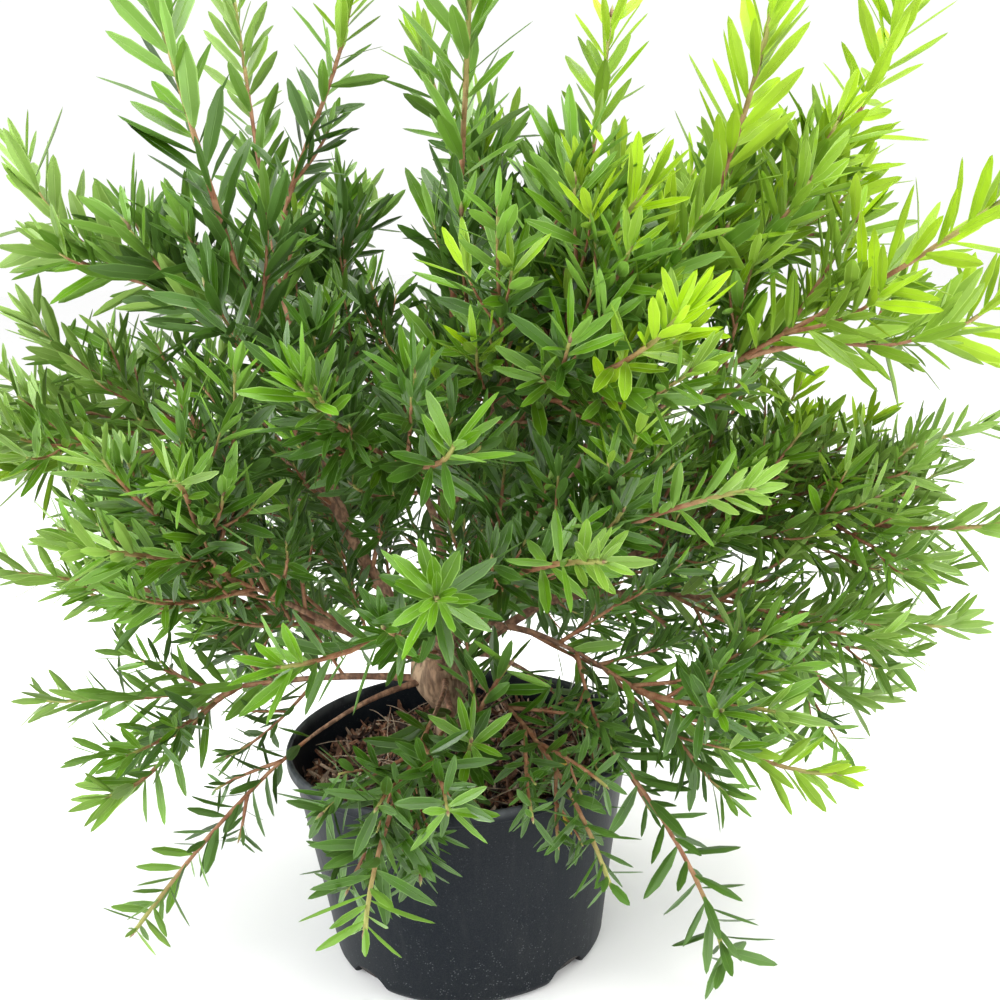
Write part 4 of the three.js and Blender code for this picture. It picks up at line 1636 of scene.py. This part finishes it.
@dataclass
class Leaves:
    """Narrow leaves in a spiral along every leafy shoot.

    Angles are in degrees, but stray is in radians. wander, roll and stray are how far a leaf's
    spread, its roll about its own length and its place round the shoot vary in all. lengths,
    widths and keels are the ranges of what a leaf's own measure is multiplied by, and bends is the
    range of its bend. stations are the shares of a blade where its rings stand.
    """

    crown: Crown
    apart: float = 0.0056
    tufts: tuple[int, int] = (4, 10)
    length: float = 0.049
    tip_length: float = 0.039
    lengths: Range = (0.74, 1.14)
    width_share: float = 0.202
    widths: Range = (0.85, 1.15)
    keel: float = 0.10
    keels: Range = (0.3, 1.6)
    bends: Range = (-0.12, 0.55)
    thick_share: float = 0.012
    spread: float = 47.0
    tip_spread: float = 31.0
    hanging_spread: float = 64.0
    wander: float = 34.0
    roll: float = 130.0
    stray: float = 1.2
    lift: float = 0.1
    lowest: float = 0.012
    yellow_height: float = 0.22
    stations: tuple[float, ...] = (0.08, 0.32, 0.68, 0.93)

    def borne(self, growth: Growth, order: int) -> dict[str, np.ndarray]:
        """Set out the leaves of some shoots: roots, directions, faces, lengths and ages.

        Args:
            growth: The shoots.
            order: Tells the draws of one order of shoots from another.

        Returns:
            Arrays by name, a row for each leaf that is clear of the wood and inside the reach.
        """
        shoots, hangs = growth.shoots, growth.rising < 0.0
        span = shoots.length * (1.0 - growth.leafy) / growth.leaf**0.4
        tuft = lerp(*self.tufts, smoothstep(shoots.length, 0.03, 0.13)).astype(int)
        counts = tuft + (span / self.apart).astype(int)
        rows, index = counted(counts)
        seed = growth.seed[rows] + 0.37 * order
        part = index / (counts[rows] - 1)
        young = 1.0 - (1.0 - part) ** (1.0 + 1.2 * (tuft / counts)[rows])
        share = np.minimum(lerp(growth.leafy[rows], 1.0, young), 0.995)
        place, along, side, over = shoots.frames(rows, share)
        stray = self.stray * (chance(seed, index + 150.0) - 0.5)
        radial = between(side, over, GOLDEN_ANGLE * index + 2.0 * np.pi * chance(seed, 1) + stray)
        wander = self.wander * (chance(seed, index + 2.0) - 0.5)
        closed = np.where(hangs, self.hanging_spread, self.tip_spread)[rows]
        spread = np.radians(lerp(self.spread, closed, smoothstep(part, 0.55, 1.0)) + wander)
        direction = unit(between(along, radial, spread) + UP * self.lift)
        face = between(-radial, along, spread)
        face = unit(face - direction * np.sum(face * direction, axis=-1, keepdims=True))
        roll = np.radians(self.roll * (chance(seed, index + 90.0) - 0.5))
        size = lerp(*self.lengths, chance(seed, index + 40.0)) * growth.leaf[rows]
        length = lerp(self.length, self.tip_length, smoothstep(part, 0.7, 1.0)) * size
        middle = place + direction * (length * 0.55)[:, None]
        tips = place + direction * length[:, None]
        low, high = self.reach()
        inside = ((tips > low) & (tips < high)).all(axis=-1)
        kept = inside & self.crown.clear(np.stack([middle, tips], axis=1), 0.5).all(axis=1)
        found = {
            "place": place,
            "direction": direction,
            "face": between(face, np.cross(direction, face), roll),
            "length": length,
            "part": part,
            "seed": seed + index * 1.7,
            "spray": growth.seed[rows],
            "leading": np.full(len(rows), order < 2),
            "fresh": growth.fresh[rows],
            "tip": shoots.points[rows, 3],
        }
        return {name: numbers[kept] for name, numbers in found.items()}

    def reach(self) -> tuple[np.ndarray, np.ndarray]:
        """Find how far leaves may reach: the box of the model's own foliage, clear of the ground.

        Returns:
            The lowest and the highest corner.
        """
        lows, highs = np.array([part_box(node) for node in FOLIAGE_NODES]).swapaxes(0, 1)
        low, high = lows.min(axis=0), highs.max(axis=0)
        low[2] = max(low[2], self.lowest)
        return low, high

    def blades(self, found: dict[str, np.ndarray]) -> Surface:
        """Make closed blades: rings of four points, margin, back, margin and keel, drawn to a tip.

        The half width at a share s of the length is sin(pi s^1.1)^0.65 of the widest.

        Args:
            found: The leaves, as borne gives them.

        Returns:
            All the blades, with UVs that count once round the blade's edge and along it.
        """
        place, direction, face = found["place"], found["direction"], found["face"]
        length, seed = found["length"][:, None], found["seed"]
        s = np.array(self.stations)
        half = np.sin(np.pi * s**1.1) ** 0.65 / 2.0
        bend = (lerp(*self.bends, chance(seed, 5)) * (1.0 - 0.7 * found["part"]))[:, None]
        width = length * self.width_share * lerp(*self.widths, chance(seed, 6))[:, None]
        keel = self.keel * lerp(*self.keels, chance(seed, 7))[:, None]
        thick = length * self.thick_share / 2.0
        out, dip = width * half, -2.0 * keel * width * half
        along = length * s - length * (bend * s) ** 2 * s / 6.0
        fall = -length * bend * s * s / 2.0
        ahead, up = direction[:, None], face[:, None]
        spine = place[:, None] + ahead * along[..., None] + up * fall[..., None]
        edge = np.cross(face, direction)[:, None] * out[..., None]
        top, back = up * (dip + thick)[..., None], up * (dip - thick)[..., None]
        ring = np.stack([spine - edge, spine + back, spine + edge, spine + top], axis=2)
        tip = place + direction * length * (1.0 - bend**2 / 6.0) - face * length * bend / 2.0
        return Surface.tubes(place - direction * 0.0006, ring, tip, self.blade_uv())

    @property
    def last(self) -> int:
        """The number of a blade's last vertex, its tip. The first is its root."""
        return 1 + 4 * len(self.stations)

    def blade_uv(self) -> np.ndarray:
        """Give each corner of one blade its UV: round the edge from 0 to 2, and along from 0 to 1.

        Returns:
            A row for each corner. The upper face runs from 0 to 1 and the back from 1 to 2.
        """
        round_at = [1.0, 1.5, 2.0, 0.5]
        rows = []
        for polygon in ring_polygons(len(self.stations), 4):
            upper = 3 in [(vertex - 1) % 4 for vertex in polygon if 0 < vertex < self.last]
            for vertex in polygon:
                if vertex in (0, self.last):
                    rows.append([0.5 if upper else 1.5, 0.0 if vertex == 0 else 1.0])
                    continue
                corner = (vertex - 1) % 4
                turn = 0.0 if upper and corner == 2 else round_at[corner]
                rows.append([turn, self.stations[(vertex - 1) // 4]])
        return np.array(rows)

    def tints(self, found: dict[str, np.ndarray]) -> np.ndarray:
        """Deal a tint to each leaf by its spray's place in the crown, with new growth at its end.

        Leaders end in new growth, and so do some of the side shoots. The tint also stands for light and
        shade: lighter copies of the green go high up, far out, to the top right and to the low front,
        where light falls, and the shade tint goes deeper in as painted shade. New growth away from the
        lit top right gets the pale tint, a painted sky reflection.

        Args:
            found: The leaves.

        Returns:
            The tints' numbers.
        """
        tip, spray, seed, fresh = found["tip"], found["spray"], found["seed"], found["fresh"]
        height = smoothstep(tip[:, 2], 0.14, 0.80)
        out = smoothstep(np.hypot(tip[:, 0], 0.6 * tip[:, 1]), 0.10, 0.38)
        right = smoothstep(tip[:, 0], -0.16, 0.10)
        # Painted light and shade: the tint level rises with height, reach from the middle and the top
        # right, where light falls.
        light = -0.42 + 0.95 * height + 2.15 * out + 0.6 * right * height
        # A whole limb's leaves made darker or lighter by its new-growth share: painted shade and light.
        light = light + 0.5 * (fresh - 1.0)
        light = light + 0.8 * (chance(spray, 21) - 0.5) + 0.3 * (chance(seed, 22) - 0.5)
        # The low front of the crown, whose new growth is dealt lighter as painted light.
        front = smoothstep(-tip[:, 1], 0.10, 0.24) * (1.0 - height)
        leading = found["leading"] | (chance(spray, 24) > 0.82 - 0.25 * height)
        # New growth at shoot ends, boosted on the right and at the low front as painted light.
        flush_and_light = 0.7 + (lerp(0.8, 1.1, right) + 0.8 * front) * leading
        light = light + flush_and_light * fresh * smoothstep(found["part"], 0.3, 1.0)
        level = np.clip(np.floor(light), 0, 3).astype(int)
        # How lit the top right is; new growth away from it gets the pale tint, a painted sky reflection.
        top_right_light = height * right + 0.5 * (fresh - 1.0)
        pale = (level >= Tint.FRESH.value) & (top_right_light < 0.36) & (chance(spray, 25) > 0.06)
        level = np.where(pale, Tint.PALE.value, level)
        old = (tip[:, 0] > 0.05) & (tip[:, 2] < self.yellow_height)
        return np.where(old & (chance(seed, 23) > 0.996), Tint.YELLOW.value, level)

    def build(self, growths: list[Growth], finishes: dict[Tint, LeafFinish]) -> None:
        """Make the leaves of every shoot, joined by tint into pieces that stay small enough.

        Args:
            growths: The shoots, order by order.
            finishes: The finish of each tint.
        """
        parts = [self.borne(growth, order) for order, growth in enumerate(growths)]
        found = {name: np.concatenate([part[name] for part in parts]) for name in parts[0]}
        tints = self.tints(found)
        each = 8 * len(self.stations)
        for tint in Tint:
            rows = np.flatnonzero(tints == tint.value)
            material = finishes[tint].material()
            pieces = max(1, math.ceil(len(rows) * each / MOST_TRIANGLES))
            for number, some in enumerate(np.array_split(rows, pieces)):
                chosen = {name: numbers[some] for name, numbers in found.items()}
                name = f"leaves_{tint.name.lower()}_{number + 1}"
                piece = self.blades(chosen).made(name, material, "foliage")
                self.crease(piece)
                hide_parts(*FOLIAGE_NODES)
        log.info("leaves: %d", len(tints))

    def crease(self, piece: bpy.types.Object) -> None:
        """Keep the margins and the keel of the blades crisp: all edges that run lengthwise.

        Args:
            piece: A piece of blades alone.
        """
        mesh = piece.data
        ends = np.empty(len(mesh.edges) * 2, np.int32)
        mesh.edges.foreach_get("vertices", ends)
        local = ends.reshape(-1, 2) % (self.last + 1)
        at_end = (local == 0) | (local == self.last)
        sharp = at_end.any(axis=1) | ((local[:, 0] - 1) % 4 == (local[:, 1] - 1) % 4)
        attribute = mesh.attributes.new("sharp_edge", "BOOLEAN", "EDGE")
        attribute.data.foreach_set("value", sharp)


# ---- Wood ----


@dataclass
class Wood:
    """The boughs with their bark, the leaders and twigs, and the buds at their ends.

    overrun is how far a bough reaches into its leader, as a share of the limb.
    """

    crown: Crown
    rings: int = 80
    sides: int = 14
    overrun: float = 0.02
    collar: float = 0.35
    collar_length: float = 0.012
    knobs: float = 0.35
    bud_sides: int = 6
    bud_sizes: Range = (0.0022, 0.0042)

    def boughs(self, finish: BarkFinish) -> bpy.types.Object:
        """Make each limb's bough, with a collar at its foot and bark that is furrowed lengthwise.

        Args:
            finish: The bark.

        Returns:
            The piece that stands for the bough nodes.
        """
        crown, turn = self.crown, even_turn(self.sides)
        share = np.linspace(0.0, 1.0, self.rings) * (crown.bough_share + self.overrun)
        place, _, side, over = crown.limbs.shoots.stations(share)
        tapering = np.minimum(1.0, share / crown.bough_share)
        radius = lerp(crown.foot_radius[:, None], crown.end_radius[:, None], tapering)
        distance = share * crown.limbs.shoots.length[:, None]
        radius = radius * (1.0 + self.collar * np.exp(-distance / self.collar_length))
        upward = distance / 0.02 + crown.limbs.mass[:, None] * 3.1
        skin = grid(np.cos(turn), np.sin(turn), upward[..., None])
        furrow = ridges(skin * (1.0, 1.0, 0.5), 0.34, 17)
        swell = 1.0 + 0.10 * noise(skin, 0.8, 19) + 0.16 * (furrow - 0.7)
        outward = between(side[:, :, None], over[:, :, None], turn)
        ring = place[:, :, None] + outward * (radius[..., None] * swell)[..., None]
        made = Surface.tubes(place[:, 0], ring, place[:, -1])
        middle = np.full((len(ring), 1), 0.5)
        relief = np.concatenate([middle, furrow.reshape(len(ring), -1), middle], axis=1)
        made.values["relief"] = relief.ravel()
        piece = made.made("bough_bark", finish.material(), "shoot_bark")
        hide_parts(*BOUGH_NODES)
        return piece

    def stems(self, twigs: list[Growth], sprigs: list[Growth], finish: ShootFinish) -> None:
        """Make the leaders, twigs and side twigs, each thinner than what bears it.

        Args:
            twigs: What the limbs and their forks bear.
            sprigs: What the twigs bear.
            finish: The young bark.
        """
        crown = self.crown
        orders = [
            (crown.limbs, crown.bough_share, crown.end_radius, 0.0016, 40, 8),
            (crown.forks, 0.0, 0.0028, 0.0014, 36, 8),
            *((some, 0.0, 0.0018, 0.0011, 12, 6) for some in twigs),
            *((some, 0.0, 0.0013, 0.0008, 6, 5) for some in sprigs),
        ]
        parts = [growth.shoots.tubes(*measures, self.knobs) for growth, *measures in orders]
        piece = Surface.joined(parts).made("twig_bark", finish.material(), "shoot_bark")
        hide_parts(*FOLIAGE_NODES)

    def buds(self, orders: list[Growth], finish: ShootFinish) -> bpy.types.Object:
        """Make a small pointed bud at the end of every shoot.

        Args:
            orders: The shoots.
            finish: The bud's colours.

        Returns:
            The piece of all buds.
        """
        ahead = np.array([0.0, 0.84, 1.68, 2.4])[:, None, None]
        wide = np.array([0.38, 0.5, 0.36, 0.12])[:, None, None]
        around = [1] + [self.bud_sides] * len(ahead) + [1]
        youth = np.repeat([0.2, 0.3, 0.6, 0.9, 1.0, 1.0], around)
        parts = []
        for growth in orders:
            place, along, side, over = (each[:, 0] for each in growth.shoots.stations(np.ones(1)))
            size = (lerp(*self.bud_sizes, chance(growth.seed, 31)) * growth.leaf)[:, None]
            spin = between(side[:, None], over[:, None], even_turn(self.bud_sides)) * size[:, None]
            ring = (along * size)[:, None, None] * ahead + spin[:, None] * wide
            ring = place[:, None, None] + ring
            made = Surface.tubes(place - along * 0.0005, ring, place + along * size * 2.7)
            made.values["youth"] = np.tile(youth, len(size))
            parts.append(made)
        return Surface.joined(parts).made("shoot_buds", finish.material(), "shoot_bark")


# ---- Studio ----


@dataclass
class Studio:
    """A pale floor, soft lights and the camera."""

    place: Place = (0.042, -0.922, 0.588)
    pitch: float = 13.1
    roll: float = 2.6
    lens: float = 43.2
    sensor: float = 36.0
    far: float = 60.0
    floor_radius: float = 14.0
    floor_depth: float = 0.02
    aim: Place = (0.0, 0.0, 0.4)
    glow: float = 1.03

    @staticmethod
    def hung(
        name: str, data: bpy.types.ID, place: Place, right: np.ndarray, ahead: np.ndarray
    ) -> bpy.types.Object:
        """Hang a camera or a light in the scene.

        Args:
            name: The name of what holds it.
            data: The camera or the light.
            place: Where it hangs.
            right: The direction of its right-hand side.
            ahead: The direction that it faces.

        Returns:
            The object that holds it.
        """
        holder = bpy.data.objects.new(name, data)
        bpy.context.scene.collection.objects.link(holder)
        columns = np.stack([right, np.cross(right, ahead), -ahead, np.array(place)], axis=1)
        holder.matrix_world = Matrix([*columns.tolist(), [0.0, 0.0, 0.0, 1.0]])
        return holder

    def camera(self) -> None:
        """Set the camera, which looks down by the pitch and is rolled about its line of sight."""
        data = bpy.data.cameras.new("camera")
        data.lens = self.lens
        data.sensor_width = self.sensor
        data.clip_end = self.far
        pitch, roll = math.radians(self.pitch), math.radians(self.roll)
        ahead = np.array([0.0, math.cos(pitch), -math.sin(pitch)])
        right = RIGHT * math.cos(roll) - np.cross(RIGHT, ahead) * math.sin(roll)
        bpy.context.scene.camera = self.hung("camera", data, self.place, right, ahead)

    def light(self, name: str, place: Place, size: float, power: float, colour: Colour) -> None:
        """Hang one square soft light that faces the plant's middle.

        Args:
            name: Its name.
            place: Where it hangs.
            size: The length of its side.
            power: Its power in watts.
            colour: Its colour.
        """
        data = bpy.data.lights.new(name, "AREA")
        data.shape = "SQUARE"
        data.size = size
        data.energy = power
        data.color = colour
        ahead = unit(np.array(self.aim) - np.array(place))
        helper = np.array([0.0, 1.0, 0.0]) if abs(ahead[2]) > 0.95 else UP
        self.hung(name, data, place, unit(np.cross(ahead, helper)), ahead)

    def build(self, finish: StudioFinish) -> None:
        """Lay the floor, set the lights, the surroundings and the camera.

        Args:
            finish: The floor's finish.
        """
        radius = self.floor_radius * np.array([0.0, 1.0, 1.0, 0.0])
        height = self.floor_depth * np.array([-1.0, -1.0, 0.0, 0.0])
        made = Surface.turned(radius, height, 96)
        creased(made.made("floor", finish.material(), None), 30.0)
        self.light("overhead", (0.45, -0.25, 2.5), 1.8, 80.0, (1.0, 0.985, 0.95))
        self.light("front", (-0.9, -2.3, 1.5), 1.8, 26.0, (0.97, 0.98, 1.0))
        self.light("left", (-2.0, -0.6, 0.6), 1.6, 56.0, (0.97, 0.99, 1.0))
        self.light("right", (2.0, -0.6, 0.6), 1.6, 38.0, (1.0, 1.0, 0.98))
        world = bpy.data.worlds.new("surroundings")
        world.use_nodes = True
        background = world.node_tree.nodes["Background"].inputs
        background["Color"].default_value = (1.0, 1.0, 1.0, 1.0)
        background["Strength"].default_value = self.glow
        bpy.context.scene.world = world
        bpy.context.scene.view_settings.view_transform = "Standard"
        self.camera()


# ---- The plant ----

# Lit and shaded copies of one leaf green: leaf_shade is painted shade, the two lime new-growth greens carry
# painted light, leaf_pale is a painted sky reflection, and leaf_yellow is old leaves.
LEAF_FINISHES = {
    Tint.SHADE: LeafFinish("leaf_shade", (0.035, 0.103, 0.0015), (0.14, 0.27, 0.055), 0.52),
    Tint.MATURE: LeafFinish("leaf_mature", (0.088, 0.212, 0.003), (0.26, 0.43, 0.10), 0.46),
    Tint.FRESH: LeafFinish("leaf_fresh", (0.152, 0.286, 0.005), (0.36, 0.54, 0.10), 0.30),
    Tint.FLUSH: LeafFinish("leaf_flush", (0.238, 0.400, 0.004), (0.40, 0.58, 0.07), 0.18),
    Tint.PALE: LeafFinish("leaf_pale", (0.140, 0.265, 0.022), (0.37, 0.54, 0.15), 0.5),
    Tint.YELLOW: LeafFinish("leaf_yellow", (0.55, 0.36, 0.04), (0.6, 0.45, 0.1), 0.3),
}
BARK = BarkFinish(
    "trunk_old_bark", (0.42, 0.29, 0.18), (0.27, 0.165, 0.095), (0.07, 0.038, 0.02), (1.0, 1.0, 0.25)
)
BOUGH = BarkFinish(
    "bough_old_bark", (0.36, 0.21, 0.125), (0.22, 0.105, 0.058), (0.06, 0.028, 0.016), (1.0, 1.0, 0.6)
)
TWIG = ShootFinish("young_bark", (0.33, 0.17, 0.085), (0.20, 0.068, 0.026), (0.30, 0.34, 0.08))
BUD = ShootFinish("bud_scales", (0.30, 0.2, 0.12), (0.24, 0.11, 0.07), (0.30, 0.36, 0.10))
PLASTIC = PlasticFinish("pot_plastic", (0.003, 0.0055, 0.009), (0.026, 0.028, 0.029), 0.09)
# Dark brown bed, made near black as painted shade in the gaps between the chips.
BED = ChipFinish("mulch_bed", (0.007, 0.0035, 0.002), (0.03, 0.013, 0.008))
CHIPS = [
    ChipFinish("bark_chips_dark", (0.034, 0.013, 0.006), (0.13, 0.054, 0.028)),
    ChipFinish("bark_chips_red", (0.25, 0.105, 0.055), (0.50, 0.28, 0.16)),
    ChipFinish("bark_chips_tan", (0.60, 0.41, 0.28), (0.86, 0.70, 0.53)),
]
GRIT = ChipFinish("pale_grit", (0.62, 0.56, 0.47), (0.8, 0.76, 0.68))
DRY = ChipFinish("dry_needles", (0.48, 0.36, 0.25), (0.62, 0.50, 0.36))
FLOOR = StudioFinish("studio_floor", (0.95, 0.95, 0.95))

LIMB_TWIGS = Branching(start=0.36, stop=0.64, longest=0.170, leafy=0.22, hanging=1.5)
FORK_TWIGS = Branching(start=0.06, stop=0.52, longest=0.160, leafy=0.16)
INNER_TWIGS = Branching(
    start=0.18,
    stop=0.44,
    longest=0.130,
    leafy=0.20,
    apart=0.016,
    spread=50.0,
    shortest=0.024,
    shortening=0.2,
    lift=0.15,
    arch=0.24,
    leaf=0.76,
    hanging=0.0,
)
SPRIGS = Branching(
    start=0.14,
    stop=0.60,
    longest=0.060,
    leafy=0.10,
    apart=0.024,
    spread=38.0,
    shortest=0.018,
    shortening=0.3,
    arch=0.28,
    leaf=0.92,
)


def main() -> None:
    """Build every sub-assembly in order."""
    logging.basicConfig(level=logging.INFO, format="%(message)s")
    pot = Pot()
    pot.build(PLASTIC)
    trunk = Trunk()
    mulch = Mulch(pot, trunk.foot)
    mulch.build(BED, CHIPS, GRIT, DRY)
    trunk.build(BARK)
    crown = Crown(trunk, pot, mulch)
    twigs = [
        crown.branched(crown.limbs, LIMB_TWIGS, 1),
        crown.branched(crown.forks, FORK_TWIGS, 2),
        crown.branched(crown.limbs, INNER_TWIGS, 3),
    ]
    sprigs = [crown.branched(some, SPRIGS, 4 + number) for number, some in enumerate(twigs)]
    wood = Wood(crown)
    wood.boughs(BOUGH)
    wood.stems(twigs, sprigs, TWIG)
    wood.buds([crown.limbs, crown.forks, *twigs], BUD)
    Leaves(crown).build([crown.limbs, crown.forks, *twigs, *sprigs], LEAF_FINISHES)
    Studio().build(FLOOR)


def corners(box: tuple) -> list[list[float]]:
    """Return a box's two corners as plain lists."""
    return [list(corner) for corner in box]


if __name__ == "__main__":
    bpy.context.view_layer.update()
    main()
